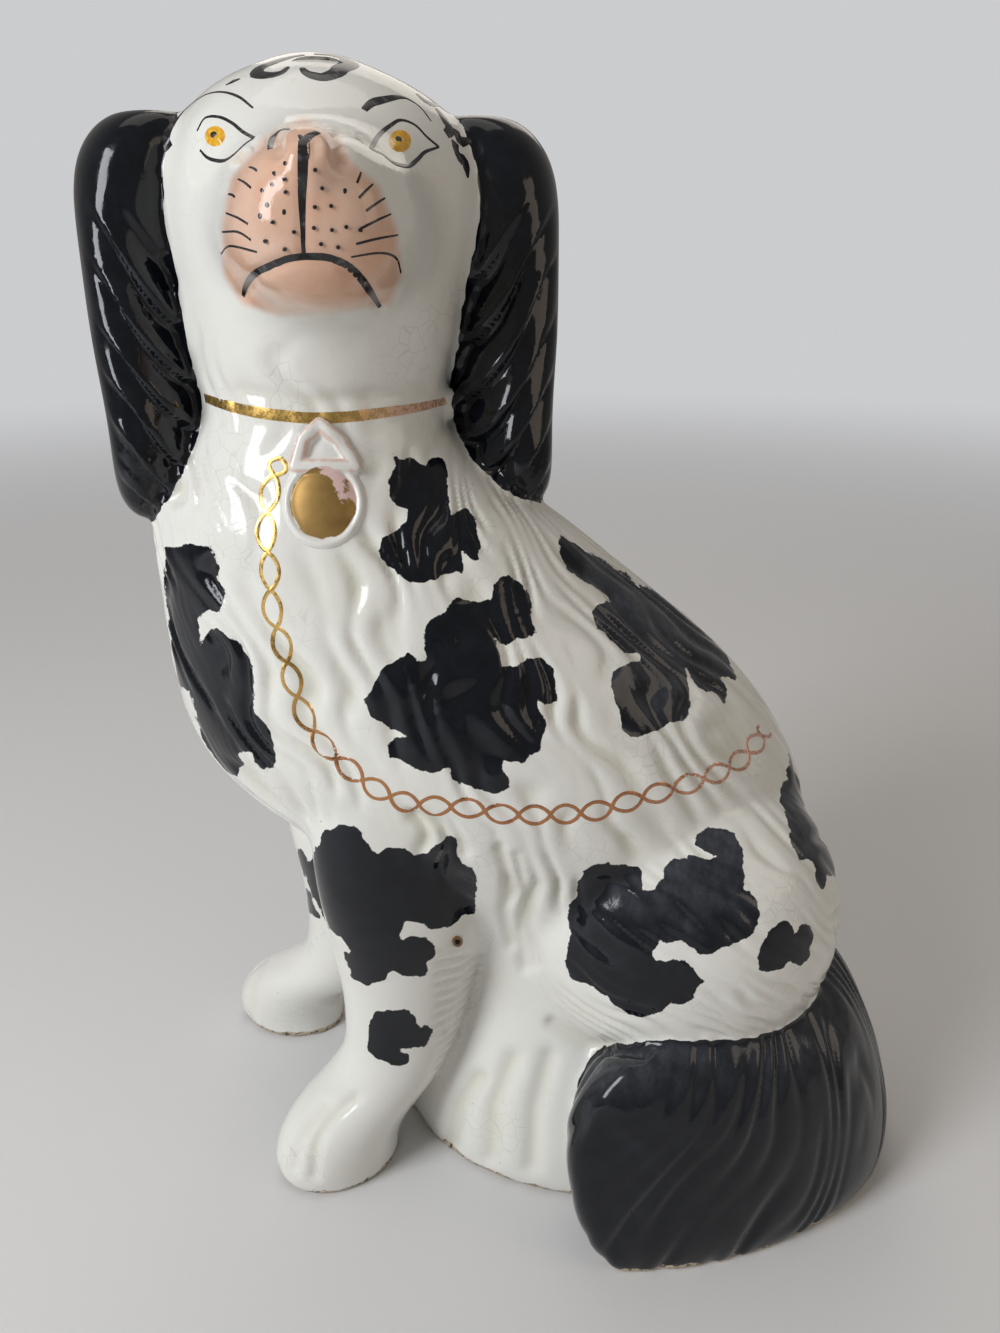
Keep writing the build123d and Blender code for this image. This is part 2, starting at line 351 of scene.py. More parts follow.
# Coat of the chest, flanks and back, falling in wavy locks
turnRound = np.arctan2(y - coatSet["axis"][1], x - coatSet["axis"][0])
coatAcross = turnRound * coatSet["radius"]
coat = ridges(coatAcross + coatSet["lean"] * z, z, *coatSet["ridges"])
fine = ridges(coatAcross + coatSet["fineLean"] * z, z, *coatSet["fine"])
onTrunk = share["body"] * smoothstep(*coatSet["low"], z) * (1 - smoothstep(*coatSet["high"], z))
lockX, lockY = coatSet["padlock"]
onTrunk = onTrunk * smoothstep(*coatSet["plain"], np.hypot(across - lockX, 0.8 * (down - lockY)))
thighX = x - haunchSet["centre"][0]
thighZ = z - haunchSet["centre"][1]
onThigh = share["body"] * (1 - smoothstep(*haunchSet["radius"], np.hypot(thighX, thighZ)))
onThigh = onThigh * smoothstep(*haunchSet["side"], np.abs(y)) * smoothstep(*haunchSet["low"], z)
sink += coatSet["depth"] * onTrunk * (1 - onThigh) * (coat + coatSet["fineShare"] * fine)

# Finer curved locks over the thighs
curl = thighX * 0.75 + thighZ * 0.9 + haunchSet["bend"] * thighX * thighX
thighAlong = thighX * 0.8 - thighZ * 0.6
sink += haunchSet["depth"] * onThigh * ridges(curl, thighAlong, *haunchSet["ridges"])

# Soft upright ripples on the neck
neck = smoothstep(*neckSet["low"], z) * (1 - smoothstep(*neckSet["high"], z)) * share["body"]
sink += neckSet["depth"] * neck * ridges(turnRound * neckSet["radius"], z, *neckSet["ridges"])


# Ears: a smooth crown, then slanting locks that overlap like shingles
earSet = {
    "lock": 13.0 * mm,  # height of one lock
    "slant": 1.45,  # how fast a lock falls towards the face
    "tilt": 0.25,  # and towards the back
    "bend": (40, 3 * mm),  # scale and size of its waviness
    "step": 0.16,  # share of a lock that its steep edge takes
    "rim": (0.45, 0.85),  # where the locks fade into the smooth outer rim
    "joint": (0.55, 0.98),
    "depth": 3.4 * mm,
    "hair": (2.6 * mm, 20 * mm, 0.8),
    "hairSeed": 13.0,
    "hairDepth": 0.8 * mm,
    "crown": (0.268, 0.290),
}


def sculptEar(name, side):
    low, high = (np.array(c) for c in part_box(name))
    middle = (low + high) / 2
    inward = side * (middle[0] - x)
    climb = z + earSet["slant"] * inward - earSet["tilt"] * (y - middle[1])
    scale, size = earSet["bend"]
    step = (climb + noiseOver(x * scale, y * scale, z * scale) * size) / earSet["lock"]
    lock = step - np.floor(step)
    edge = earSet["step"]
    shingle = np.where(lock < edge, lock / edge, (1 - lock) / (1 - edge))
    hair = ridges(climb, inward + z, *earSet["hair"], earSet["hairSeed"] + side)
    below = 1 - smoothstep(*earSet["crown"], z)
    below = below * (1 - smoothstep(*earSet["rim"], -inward / (high[0] - middle[0])))
    joined = smoothstep(*earSet["joint"], relax(share[name], 6))
    return joined * below * (earSet["depth"] * (1 - shingle) + earSet["hairDepth"] * hair)


sink += sculptEar("left_ear", 1)
sink += sculptEar("right_ear", -1)

# Tail: long hairs that sweep down and forward
tailSet = {
    "ridges": (8.5 * mm, 45 * mm, 2.0, 17.0),
    "depth": 0.85 * mm,
    "lean": 0.55,
    "bend": 3.0,
    "middle": (0.045, -0.020),
    "radius": 0.055,
}
roundTail = np.arctan2(y - tailSet["middle"][1], x - tailSet["middle"][0]) * tailSet["radius"]
roundTail += tailSet["bend"] * z * z - tailSet["lean"] * z
sink += tailSet["depth"] * relax(share["tail"], 4) * ridges(roundTail, z, *tailSet["ridges"])


# Single lines pressed into the clay, drawn on the photograph
creases = [
    # width in pixels, depth in millimetres, line
    (7, 1.3, [(354, 1099), (335, 1114), (321, 1131), (314, 1151), (314, 1174)]),
    (7, 1.1, [(324, 1106), (307, 1126), (297, 1145), (293, 1168)]),
    (8, 0.8, [(262, 960), (250, 985), (251, 1015)]),
    (5, 0.5, [(303, 150), (303, 200), (303, 252)]),
    (6, 0.8, [(243, 296), (256, 273), (290, 259), (306, 256), (340, 263), (368, 288), (380, 306)]),
    (7, 1.4, [(277, 140), (275, 152)]),
    (7, 1.4, [(337, 138), (341, 160)]),
    (6, 0.8, [(314, 144), (314, 152)]),
    (8, 0.8, [(240, 392), (311, 404), (425, 388)]),
    (7, 1.2, [(414, 817), (440, 826), (465, 853)]),
    (6, 1.3, [(500, 850), (508, 880), (503, 912), (510, 945)]),
    (6, 1.2, [(517, 858), (526, 896), (519, 935), (524, 968)]),
    (6, 1.0, [(534, 890), (529, 930), (537, 965)]),
    (7, 1.6, [(552, 1024), (586, 1046), (641, 1052)]),
    (10, 1.7, [(478, 1078), (458, 1108), (450, 1142)]),
    (10, 1.5, [(512, 1060), (494, 1105), (490, 1155)]),
    (10, 1.4, [(548, 1058), (534, 1110), (531, 1165)]),
]
toShot = np.array(shot["place"]) - points
toShot /= np.linalg.norm(toShot, axis=1)[:, None]
facing = (normals * toShot).sum(axis=1)
for width, depth, line in creases:
    sink += depth * mm * np.exp(-(lineGap(line, across, down) / width) ** 2) * (facing > 0)

# Ribs down the back of the near foreleg
ribSet = {
    "pitch": 4.3 * mm,
    "depth": 0.9 * mm,
    "lean": 0.25,
    "turned": -0.3,
    "left": (432, 442),
    "top": (945, 960),
    "foot": (1068, 1082),
}
rib = 0.5 - 0.5 * np.cos(2 * pi * (z + ribSet["lean"] * x) / ribSet["pitch"])
ribbed = share["left_foreleg"] * smoothstep(*ribSet["left"], across) * (facing > ribSet["turned"])
ribbed = ribbed * smoothstep(*ribSet["top"], down) * (1 - smoothstep(*ribSet["foot"], down))
sink += ribSet["depth"] * relax(ribbed, 3) * rib

points = points - normals * sink[:, None]
writePoints(skin, points)
points = relax(points, 1, 0.3)
writePoints(skin, points)
normals = readNormals(skin)
print("relief cut")


# Painted patches, as outlines on the photograph
patches = {
    "chestPatch": [
        (166, 546), (181, 546), (210, 546), (217, 564), (218, 580), (227, 591), (218, 611), (205, 611),
        (200, 619), (201, 645), (209, 631), (218, 628), (235, 642), (251, 658), (253, 676), (253, 710),
        (262, 721), (272, 734), (275, 755), (274, 768), (262, 769), (255, 763), (251, 751), (239, 755),
        (243, 765), (238, 777), (221, 771), (206, 752), (200, 729), (193, 700), (189, 691), (176, 684),
        (172, 663), (170, 629), (167, 603), (164, 574),
    ],
    "shoulderPatch": [
        (393, 454), (400, 458), (413, 457), (423, 465), (428, 467), (431, 459), (442, 458), (447, 469),
        (448, 496), (451, 514), (458, 507), (467, 507), (474, 518), (478, 536), (479, 562), (472, 561),
        (462, 551), (462, 572), (442, 574), (436, 582), (418, 583), (400, 576), (382, 559), (378, 552),
        (382, 536), (395, 530), (407, 521), (407, 509), (398, 508), (389, 496), (388, 480), (395, 469),
    ],
    "flankPatch": [
        (453, 598), (477, 602), (493, 601), (493, 582), (506, 577), (521, 582), (529, 601), (536, 632),
        (525, 636), (515, 636), (506, 645), (494, 638), (503, 665), (519, 667), (527, 657), (542, 657),
        (553, 671), (559, 700), (547, 705), (537, 701), (545, 723), (541, 750), (532, 755), (524, 761),
        (503, 761), (503, 773), (512, 785), (503, 794), (485, 791), (459, 785), (449, 778), (449, 768),
        (432, 773), (411, 767), (401, 761), (389, 757), (388, 744), (396, 737), (408, 737), (396, 731),
        (385, 723), (368, 720), (364, 700), (375, 682), (385, 666), (409, 652), (419, 661), (426, 658),
        (423, 635), (430, 621), (443, 611),
    ],
    "backPatch": [
        (560, 533), (582, 547), (601, 559), (637, 583), (674, 602), (698, 622), (722, 648), (737, 675),
        (737, 681), (719, 677), (727, 690), (725, 705), (713, 694), (698, 687), (691, 677), (686, 665),
        (688, 690), (690, 711), (684, 722), (671, 721), (659, 731), (630, 737), (621, 728), (618, 709),
        (611, 685), (612, 670), (625, 663), (641, 663), (640, 653), (625, 652), (611, 639), (597, 628),
        (592, 612), (599, 604), (612, 602), (601, 590), (584, 582), (570, 573), (560, 556), (558, 542),
    ],
    "thighPatch": [
        (595, 864), (609, 861), (627, 867), (640, 866), (642, 890), (655, 891), (655, 882), (665, 879),
        (665, 868), (674, 858), (687, 860), (690, 854), (703, 858), (716, 857), (705, 851), (696, 844),
        (696, 835), (709, 828), (724, 829), (735, 833), (741, 848), (743, 870), (745, 890), (752, 890),
        (757, 900), (761, 913), (757, 920), (752, 933), (744, 939), (731, 946), (720, 950), (713, 956),
        (700, 955), (690, 948), (681, 941), (668, 942), (660, 938), (652, 954), (655, 961), (668, 962),
        (683, 959), (694, 968), (698, 978), (705, 981), (698, 985), (692, 1000), (681, 1003),
        (670, 1000), (661, 1011), (644, 1016), (627, 1015), (612, 1004), (607, 996), (603, 995),
        (592, 987), (572, 978), (564, 961), (568, 948), (570, 926), (570, 905), (577, 896), (577, 881),
        (583, 872),
    ],
    "smallThighPatch": [
        (768, 931), (785, 920), (793, 926), (795, 933), (800, 924), (809, 924), (813, 935), (809, 955),
        (802, 968), (789, 961), (783, 968), (770, 974), (759, 970), (761, 948),
    ],
    "rumpPatch": [
        (788, 751), (798, 764), (815, 794), (828, 822), (836, 870), (836, 878), (828, 875), (822, 888),
        (816, 883), (813, 864), (809, 860), (800, 861), (791, 844), (787, 816), (780, 801), (780, 788),
        (788, 779),
    ],
}
legPatches = {
    "nearLegPatch": [
        (316, 848), (324, 831), (341, 824), (358, 828), (372, 850), (377, 855), (389, 848), (405, 849),
        (415, 855), (434, 848), (448, 835), (457, 839), (456, 856), (462, 864), (473, 867), (478, 884),
        (473, 912), (462, 916), (450, 928), (434, 930), (420, 923), (405, 923), (396, 937), (403, 943),
        (411, 936), (425, 937), (435, 946), (434, 957), (427, 965), (425, 975), (408, 977), (391, 971),
        (386, 981), (369, 985), (352, 977), (344, 960), (345, 953), (354, 954), (341, 937), (330, 932),
        (319, 909), (307, 881), (299, 867), (295, 848), (302, 849), (309, 863),
    ],
    "nearShinPatch": [
        (368, 1024), (375, 1013), (391, 1009), (408, 1009), (418, 1024), (420, 1030), (427, 1026),
        (432, 1031), (425, 1047), (411, 1048), (400, 1050), (410, 1055), (408, 1064), (394, 1065),
        (377, 1061), (368, 1050), (370, 1037),
    ],
    "farLegPatch": [
        (290, 870), (296, 893), (304, 912), (321, 919), (310, 895), (296, 873),
    ],
}
pinkMuzzle = [(304, 116), (262, 137), (230, 179), (221, 227), (223, 275), (242, 305), (279, 316),
              (334, 314), (391, 305), (402, 275), (398, 229), (380, 186), (352, 160), (338, 133)]


def outlineGap(outline, u, v):
    # distance from a closed outline, negative inside, in the outline's own unit
    best = np.full(len(u), 1e9)
    within = np.zeros(len(u), dtype=bool)
    for (x0, y0), (x1, y1) in zip(outline, outline[1:] + outline[:1]):
        dx, dy = x1 - x0, y1 - y0
        t = np.clip(((u - x0) * dx + (v - y0) * dy) / (dx * dx + dy * dy), 0, 1)
        best = np.minimum(best, np.hypot(u - x0 - t * dx, v - y0 - t * dy))
        if dy:
            crosses = (y0 > v) != (y1 > v)
            within ^= crosses & (u < x0 + (v - y0) * dx / dy)
    return np.where(within, -best, best)


paintSet = {
    "legs": (0.3, -0.2),  # least share of the node, and how far the form may turn from the camera
    "body": (0.3, -0.25),
    "blush": (0.5, -0.2),
    "margin": 25,  # pixels round an outline that are measured
    "farOff": 20 * mm,
    "reach": 3 * mm,
    "turned": (0.02, 0.10),  # where the outlines give way to bare glaze
    "soft": (0.25, 8),  # turn below which edges are softened, and the rounds
    "edge": (4, 5 * mm),  # rounds and reach of the black edge of the ears and the tail
}
across, down, ahead = seePixels(points)
pixelSize = ahead / shot["focal"]


def paintedGap(outline, allowed):
    gap = np.full(count, paintSet["farOff"])
    margin = paintSet["margin"]
    us, vs = zip(*outline)
    near = allowed & (across > min(us) - margin) & (across < max(us) + margin)
    near &= (down > min(vs) - margin) & (down < max(vs) + margin)
    gap[near] = outlineGap(outline, across[near], down[near]) * pixelSize[near]
    return gap


def canTake(part):
    least, turned = paintSet[part]
    return (share["legs" if part == "legs" else "body"] > least) & (facing > turned)


# Lone points take the node of their neighbours
def settle(labels, rounds):
    for _ in range(rounds):
        votes = np.stack([meanOfNeighbours((labels == i).astype(float)) + 0.25 * (labels == i)
                          for i in range(len(skinSet["nodes"]))])
        labels = votes.argmax(axis=0)
    return labels


owners = settle(owners, 16)
dark = np.full(count, paintSet["farOff"])
for outline in patches.values():
    dark = np.minimum(dark, paintedGap(outline, canTake("body")))
for outline in legPatches.values():
    dark = np.minimum(dark, paintedGap(outline, canTake("legs") | canTake("body")))
reach = paintSet["reach"]
dark = np.clip(dark, -reach, reach)
dark = dark + (reach - dark) * (1 - smoothstep(*paintSet["turned"], facing))
softTurn, softRounds = paintSet["soft"]
dark = np.where(facing < softTurn, relax(dark, softRounds), dark)
edgeRounds, edgeReach = paintSet["edge"]
for part in ("ear", "tail"):
    indices = [i for i, name in enumerate(skinSet["nodes"]) if name.endswith(part)]
    edge = relax(np.isin(owners, indices).astype(float), edgeRounds)
    dark = np.minimum(dark, (0.5 - edge) * edgeReach)

# Patches of the side turned away from the camera
farSet = {
    # x and z of the middle, half width and half height, in metres
    "patches": [
        (-0.036, 0.178, 0.013, 0.021), (0.004, 0.190, 0.011, 0.016), (-0.004, 0.150, 0.019, 0.017),
        (0.037, 0.108, 0.021, 0.016), (0.016, 0.078, 0.012, 0.014), (0.059, 0.128, 0.007, 0.013),
        (-0.058, 0.142, 0.010, 0.018), (0.040, 0.146, 0.011, 0.010),
    ],
    "lobes": (70, 0.7),  # scale and depth of the wavy edge
    "turned": (0.1, 0.1, 0.3),  # least y of the normal, most turn to the camera, least share of the body
}
scale, lobeDepth = farSet["lobes"]
lobes = lobeDepth * noiseOver(*(points.T * scale))
leastY, mostFacing, leastBody = farSet["turned"]
farSide = (normals[:, 1] > leastY) & (facing < mostFacing) & (share["body"] > leastBody)
for x0, z0, a, b in farSet["patches"]:
    r = np.hypot((points[:, 0] - x0) / a, (points[:, 2] - z0) / b)
    dark = np.minimum(dark, np.where(farSide, (r - 1 + lobes) * min(a, b), paintSet["farOff"]))

# Dry brushwork and painted sheen, a grey on the upward faces of the rump and the tail, and the flesh
# colour of the muzzle
brushSheenSet = {"left": 585, "turned": -0.3, "top": (0.25, 0.62), "tail": 0.8, "tailTop": (0.2, 0.8)}
# grey is painted where the faces turn upwards towards the rump: brushwork and painted sheen
brushAndSheen = smoothstep(*brushSheenSet["top"], normals[:, 2]) * (across > brushSheenSet["left"])
brushAndSheen = brushAndSheen * (facing > brushSheenSet["turned"]) * share["body"]
tailBrushSheen = brushSheenSet["tail"] * share["tail"] * smoothstep(*brushSheenSet["tailTop"], normals[:, 2])
brushAndSheen = relax(np.maximum(brushAndSheen, tailBrushSheen), 3)
blush = paintedGap(pinkMuzzle, canTake("blush"))
print("patches painted")


def writeAttribute(mesh, name, values):
    layer = mesh.attributes.new(name, "FLOAT", "POINT")
    layer.data.foreach_set("value", values.astype(np.float32))


# depth of the relief: the glaze turns a darker cream there, pooled glaze and painted shade of the
# hollows
hollow = relax(sink, 2) / (1.5 * mm)
writeAttribute(skin, "dark", dark / mm)
writeAttribute(skin, "blush", blush / mm)
writeAttribute(skin, "hollow", hollow)
writeAttribute(skin, "brushAndSheen", brushAndSheen)
rimNormals = relax(normals, 20)
rimNormals /= np.linalg.norm(rimNormals, axis=1)[:, None]
for layerName, vectors in (("skinNormal", normals), ("rimNormal", rimNormals)):
    normalLayer = skin.attributes.new(layerName, "FLOAT_VECTOR", "POINT")
    normalLayer.data.foreach_set("vector", vectors.ravel().astype(np.float32))


# Split the skin into the pressed pieces again
firstCorner = np.empty(len(skin.polygons), dtype=np.int64)
skin.polygons.foreach_get("loop_start", firstCorner)
loopPoint = np.empty(len(skin.loops), dtype=np.int64)
skin.loops.foreach_get("vertex_index", loopPoint)
faceOwner = owners[loopPoint[firstCorner]]
faceLayer = skin.attributes.new("owner", "INT", "FACE")
faceLayer.data.foreach_set("value", faceOwner.astype(np.int32))


def cutPiece(name, index):
    bm = bmesh.new()
    bm.from_mesh(skin)
    layer = bm.faces.layers.int["owner"]
    bmesh.ops.delete(bm, geom=[f for f in bm.faces if f[layer] != index], context="FACES")
    keepLargest(bm)
    closeHoles(bm, name)
    mesh = freshMesh(bm, name)
    inherited = np.empty(len(mesh.vertices) * 3)
    mesh.attributes["skinNormal"].data.foreach_get("vector", inherited)
    mesh.shade_smooth()
    mesh.normals_split_custom_set_from_vertices(inherited.reshape(-1, 3))
    for layerName in ("skinNormal", "rimNormal", "owner"):
        mesh.attributes.remove(mesh.attributes[layerName])
    piece = meshObject(name + "_skin", mesh)
    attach(piece, "root")
    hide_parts(name)
    return piece


def keepLargest(bm):
    bm.faces.ensure_lookup_table()
    seen = set()
    islands = []
    for first in bm.faces:
        if first in seen:
            continue
        island = []
        stack = [first]
        seen.add(first)
        while stack:
            face = stack.pop()
            island.append(face)
            for edge in face.edges:
                for other in edge.link_faces:
                    if other not in seen:
                        seen.add(other)
                        stack.append(other)
        islands.append(island)
    islands.sort(key=len)
    stray = [f for island in islands[:-1] for f in island]
    if stray:
        print("  stray faces", len(stray), "in", len(islands) - 1)
        bmesh.ops.delete(bm, geom=stray, context="FACES")


rimSet = {
    "depth": 2.5 * mm,
    "earShare": 0.5,  # how far a deep rim is led towards the core
    "bodyShare": 0.38,
    "earTop": 0.2,  # height above which the body's rims belong to the ears
    "slices": 16,
}
coreNodes = {
    "left_ear": ["left_ear"],
    "right_ear": ["right_ear"],
    "body": ["front_pressing", "back_pressing"],
}


def splitRims(edges):
    # the edges of each separate rim, the rim with the most first
    left = set(edges)
    rims = []
    while left:
        stack = [left.pop()]
        rim = list(stack)
        while stack:
            for vert in stack.pop().verts:
                for edge in vert.link_edges:
                    if edge in left:
                        left.remove(edge)
                        rim.append(edge)
                        stack.append(edge)
        rims.append(sorted(rim, key=lambda e: e.index))
    return sorted(rims, key=lambda rim: (-len(rim), rim[0].index))


# Middle of the body and of each ear at several heights, towards which deep rims are led
cores = {}
for coreName, nodeNames in coreNodes.items():
    inside = points[np.isin(owners, [skinSet["nodes"].index(n) for n in nodeNames])]
    inside = inside[np.argsort(inside[:, 2])]
    cores[coreName] = np.array([part.mean(axis=0) for part in np.array_split(inside, rimSet["slices"])])


def leadInward(vert, coreName, part):
    core = cores[coreName]
    target = [float(np.interp(vert.co.z, core[:, 2], core[:, i])) for i in range(2)]
    vert.co = vert.co.lerp(Vector(target + [vert.co.z]), part)


def turnIn(bm, rims):
    made = bmesh.ops.extrude_edge_only(bm, edges=rims)["geom"]
    verts = [g for g in made if isinstance(g, bmesh.types.BMVert)]
    return verts, [g for g in made if isinstance(g, bmesh.types.BMEdge) and g.is_boundary]


def closeHoles(bm, name):
    # each open rim is turned in under the surface, led deeper where the joint bends, and closed flat
    pressing = name.endswith("pressing")
    outward = bm.verts.layers.float_vector["rimNormal"]
    verts, lip = turnIn(bm, [e for e in bm.edges if e.is_boundary])
    for vert in verts:
        vert.co -= vert[outward] * rimSet["depth"]
    bm.edges.index_update()
    for i, rim in enumerate(splitRims(lip)):
        middle = sum((v.co for e in rim for v in e.verts), Vector()) / (2 * len(rim))
        if name in cores:
            for vert in turnIn(bm, rim)[0]:
                leadInward(vert, name, rimSet["earShare"])
        elif pressing and (i == 0 or middle.z > rimSet["earTop"]):
            verts = turnIn(bm, rim)[0]
            plane = float(np.median([v.co.y for v in verts]))
            for vert in verts:
                leadInward(vert, "body", rimSet["bodyShare"])
                if i == 0:
                    vert.co.y = plane
    lip = [e for e in bm.edges if e.is_boundary]
    caps = bmesh.ops.holes_fill(bm, edges=lip, sides=0)["faces"]
    method = "EAR_CLIP" if pressing else "BEAUTY"
    bmesh.ops.triangulate(bm, faces=caps, quad_method="BEAUTY", ngon_method=method)
    print("  rims closed, edges still open:", sum(e.is_boundary for e in bm.edges))


pieces = {}
for index, nodeName in enumerate(skinSet["nodes"]):
    if nodeName != "base_slab":
        pieces[nodeName] = cutPiece(nodeName, index)
        print(nodeName, len(pieces[nodeName].data.polygons), "faces")
print("skin split")


# Brushed lines, laid on the skin as thin ribbons along lines drawn on the photograph
brushSet = {
    "step": 3.0,  # pixels between the points of a stroke
    "gap": 6 * mm,  # a stroke ends where the skin falls away by more than this
    "edge": 0.03 * mm,  # height of a brushed line at its edges
    "depth": 0.35 * mm,
    "faceGain": 1.2,  # by which the traced widths are spread
    "curlGain": 1.3,
    "whisker": [0.35 * mm, 0.5 * mm, 0.5 * mm],
    "dot": 1.9,  # pixels
    "fine": 0.07 * mm,  # height of whiskers and dots
    "curl": 0.14 * mm,
}
skinTree = BVHTree.FromPolygons([Vector(p) for p in readPoints(skin)],
                                [list(p.vertices) for p in skin.polygons])


def smoothLine(line, step):
    # even points on a smooth curve through the given ones
    ends = [(2 * line[0][0] - line[1][0], 2 * line[0][1] - line[1][1])]
    ends += list(line)
    ends.append((2 * line[-1][0] - line[-2][0], 2 * line[-1][1] - line[-2][1]))
    ends = np.array(ends, dtype=float)
    dense = []
    for a, b, c, d in zip(ends, ends[1:], ends[2:], ends[3:]):
        for t in np.linspace(0, 1, 12, endpoint=False):
            dense.append(0.5 * (2 * b + (c - a) * t + (2 * a - 5 * b + 4 * c - d) * t * t
                                + (3 * b - a - 3 * c + d) * t ** 3))
    dense.append(ends[-2])
    dense = np.array(dense)
    length = np.concatenate(([0], np.cumsum(np.hypot(*np.diff(dense, axis=0).T))))
    stops = np.linspace(0, length[-1], max(3, int(length[-1] / step) + 1))
    return np.stack([np.interp(stops, length, dense[:, i]) for i in (0, 1)], axis=1)


def dropOnSkin(x, y):
    return skinTree.ray_cast(*pixelRay(x, y))[:2]


def layRibbon(bm, places, outs, widths, rise):
    # a low rounded ribbon: its middle stands proud and its edges sink into the skin
    row = [bm.verts.new(p + n * rise) for p, n in zip(places, outs)]
    edges = [bm.edges.new(pair) for pair in zip(row, row[1:])]
    faces = []
    for side in (1, -1):
        made = bmesh.ops.extrude_edge_only(bm, edges=edges)["geom"]
        moved = [g for g in made if isinstance(g, bmesh.types.BMVert)]
        faces += [g for g in made if isinstance(g, bmesh.types.BMFace)]
        for i, vert in enumerate(moved):
            ahead = places[min(i + 1, len(places) - 1)] - places[max(i - 1, 0)]
            across = ahead.cross(outs[i]).normalized() * side
            foot, out = skinTree.find_nearest(places[i] + across * widths[i] / 2)[:2]
            vert.co = foot + out * brushSet["edge"]
    bmesh.ops.recalc_face_normals(bm, faces=faces)
    if faces[0].normal.dot(outs[0]) < 0:
        bmesh.ops.reverse_faces(bm, faces=faces)
    bmesh.ops.solidify(bm, geom=faces, thickness=brushSet["depth"])


def layStroke(bm, line, width, rise=0.10 * mm):
    # width is one size or several along the line, in metres
    samples = smoothLine(line, brushSet["step"])
    places = []
    outs = []
    for x, y in samples:
        place, out = dropOnSkin(x, y)
        if place is None or (places and (place - places[-1]).length > brushSet["gap"]):
            break
        places.append(place)
        outs.append(out)
    outs = [(outs[max(i - 1, 0)] + outs[i] + outs[min(i + 1, len(outs) - 1)]).normalized()
            for i in range(len(outs))]
    sizes = [width] if isinstance(width, float) else width
    widths = np.interp(np.linspace(0, 1, len(places)), np.linspace(0, 1, len(sizes)), sizes)
    if len(places) > 2:
        layRibbon(bm, places, outs, widths, rise)


def layDisc(bm, x, y, reach, rise):
    # a round dab of paint
    made = bmesh.ops.create_circle(bm, cap_ends=True, segments=24, radius=reach)
    faces = list({f for v in made["verts"] for f in v.link_faces})
    rim = set(made["verts"])
    for _ in range(2):
        bmesh.ops.inset_region(bm, faces=faces, thickness=reach * 0.3, use_even_offset=True)
    bmesh.ops.poke(bm, faces=faces)
    patch = set(rim)
    stack = list(rim)
    while stack:
        for edge in stack.pop().link_edges:
            for vert in edge.verts:
                if vert not in patch:
                    patch.add(vert)
                    stack.append(vert)
    for vert in patch:
        place, out = dropOnSkin(x + vert.co.x, y - vert.co.y)
        vert.co = place + out * (brushSet["edge"] if vert in rim else rise)
    discFaces = list({f for v in patch for f in v.link_faces})
    out = dropOnSkin(x, y)[1]
    if discFaces[0].normal.dot(out) < 0:
        bmesh.ops.reverse_faces(bm, faces=discFaces)
    bmesh.ops.solidify(bm, geom=discFaces, thickness=brushSet["depth"])


def finishPaint(bm, name, material):
    bmesh.ops.recalc_face_normals(bm, faces=bm.faces)
    mesh = freshMesh(bm, name)
    mesh.shade_smooth()
    mesh.set_sharp_from_angle(angle=radians(45))
    piece = meshObject(name, mesh)
    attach(piece, "root")
    piece.data.materials.append(material)


faceLines = {
    # line, widths along it in millimetres
    "browLeft": (
        [(169, 149), (166, 137), (174, 123), (188, 107), (205, 95), (222, 92), (239, 97), (253, 108)],
        (2.2, 1.2, 0.6, 0.5, 0.5, 0.6, 0.4)),
    "browRight": (
        [(364, 110), (372, 103), (386, 99), (401, 97), (412, 101), (422, 109), (431, 121)],
        (1.2, 1.9, 1.4, 0.7, 0.5, 0.4)),
    "upperLidLeft": (
        [(197, 131), (205, 118), (219, 117), (232, 123), (243, 132), (254, 138)],
        (0.5, 0.6, 0.6, 0.7)),
    "lowerLidLeft": (
        [(254, 138), (245, 144), (232, 156), (222, 161), (208, 158), (200, 150)],
        (0.8, 0.8, 0.7, 0.4)),
    "upperLidRight": (
        [(371, 149), (379, 135), (391, 125), (401, 120), (415, 125), (427, 137), (439, 147)],
        (0.9, 0.8, 0.6, 0.6, 0.6)),
    "lowerLidRight": (
        [(371, 149), (382, 154), (394, 163), (408, 166), (418, 159), (425, 152), (439, 147)],
        (0.9, 0.9, 0.9, 0.7, 0.4)),
    "nostrilLeft": (
        [(270, 149), (272, 139), (279, 131), (288, 129), (293, 134)],
        (1.0, 1.1, 1.3, 0.6)),
    "nostrilRight": ([(304, 142), (309, 136), (318, 132)], (1.2, 1.5, 1.2)),
    "nostrilMiddle": ([(304, 142), (302, 138), (299, 135)], (1.2, 1.0, 0.5)),
    "philtrum": (
        [(304, 140), (303, 168), (302, 202), (303, 237), (304, 255)],
        (1.9, 1.7, 1.3, 0.9, 0.7)),
    "mouth": (
        [(243, 296), (247, 284), (256, 273), (274, 264), (291, 258), (306, 256), (325, 257),
         (343, 263), (356, 273), (368, 288), (380, 307)],
        (0.7, 1.3, 1.3, 1.2, 1.3, 1.4, 1.5, 1.5, 0.8)),
}
whiskers = [
    [(249, 167), (257, 171)], [(238, 179), (251, 188)], [(228, 194), (235, 197)],
    [(226, 213), (248, 224)], [(222, 232), (238, 232), (251, 240)],
    [(221, 254), (230, 246), (257, 252)], [(361, 172), (357, 183)], [(373, 184), (359, 198)],
    [(385, 198), (366, 211)], [(391, 214), (360, 229)], [(398, 235), (356, 244)],
    [(351, 257), (380, 253), (396, 258), (401, 273)],
]
whiskerDots = [
    (285, 163), (274, 173), (285, 179), (272, 184), (262, 190), (286, 192), (267, 204), (284, 211),
    (260, 215), (273, 222), (294, 232), (266, 241), (285, 249), (315, 170), (322, 188), (345, 190),
    (315, 207), (331, 206), (314, 228), (332, 230), (346, 227), (360, 230), (321, 244), (338, 247),
]
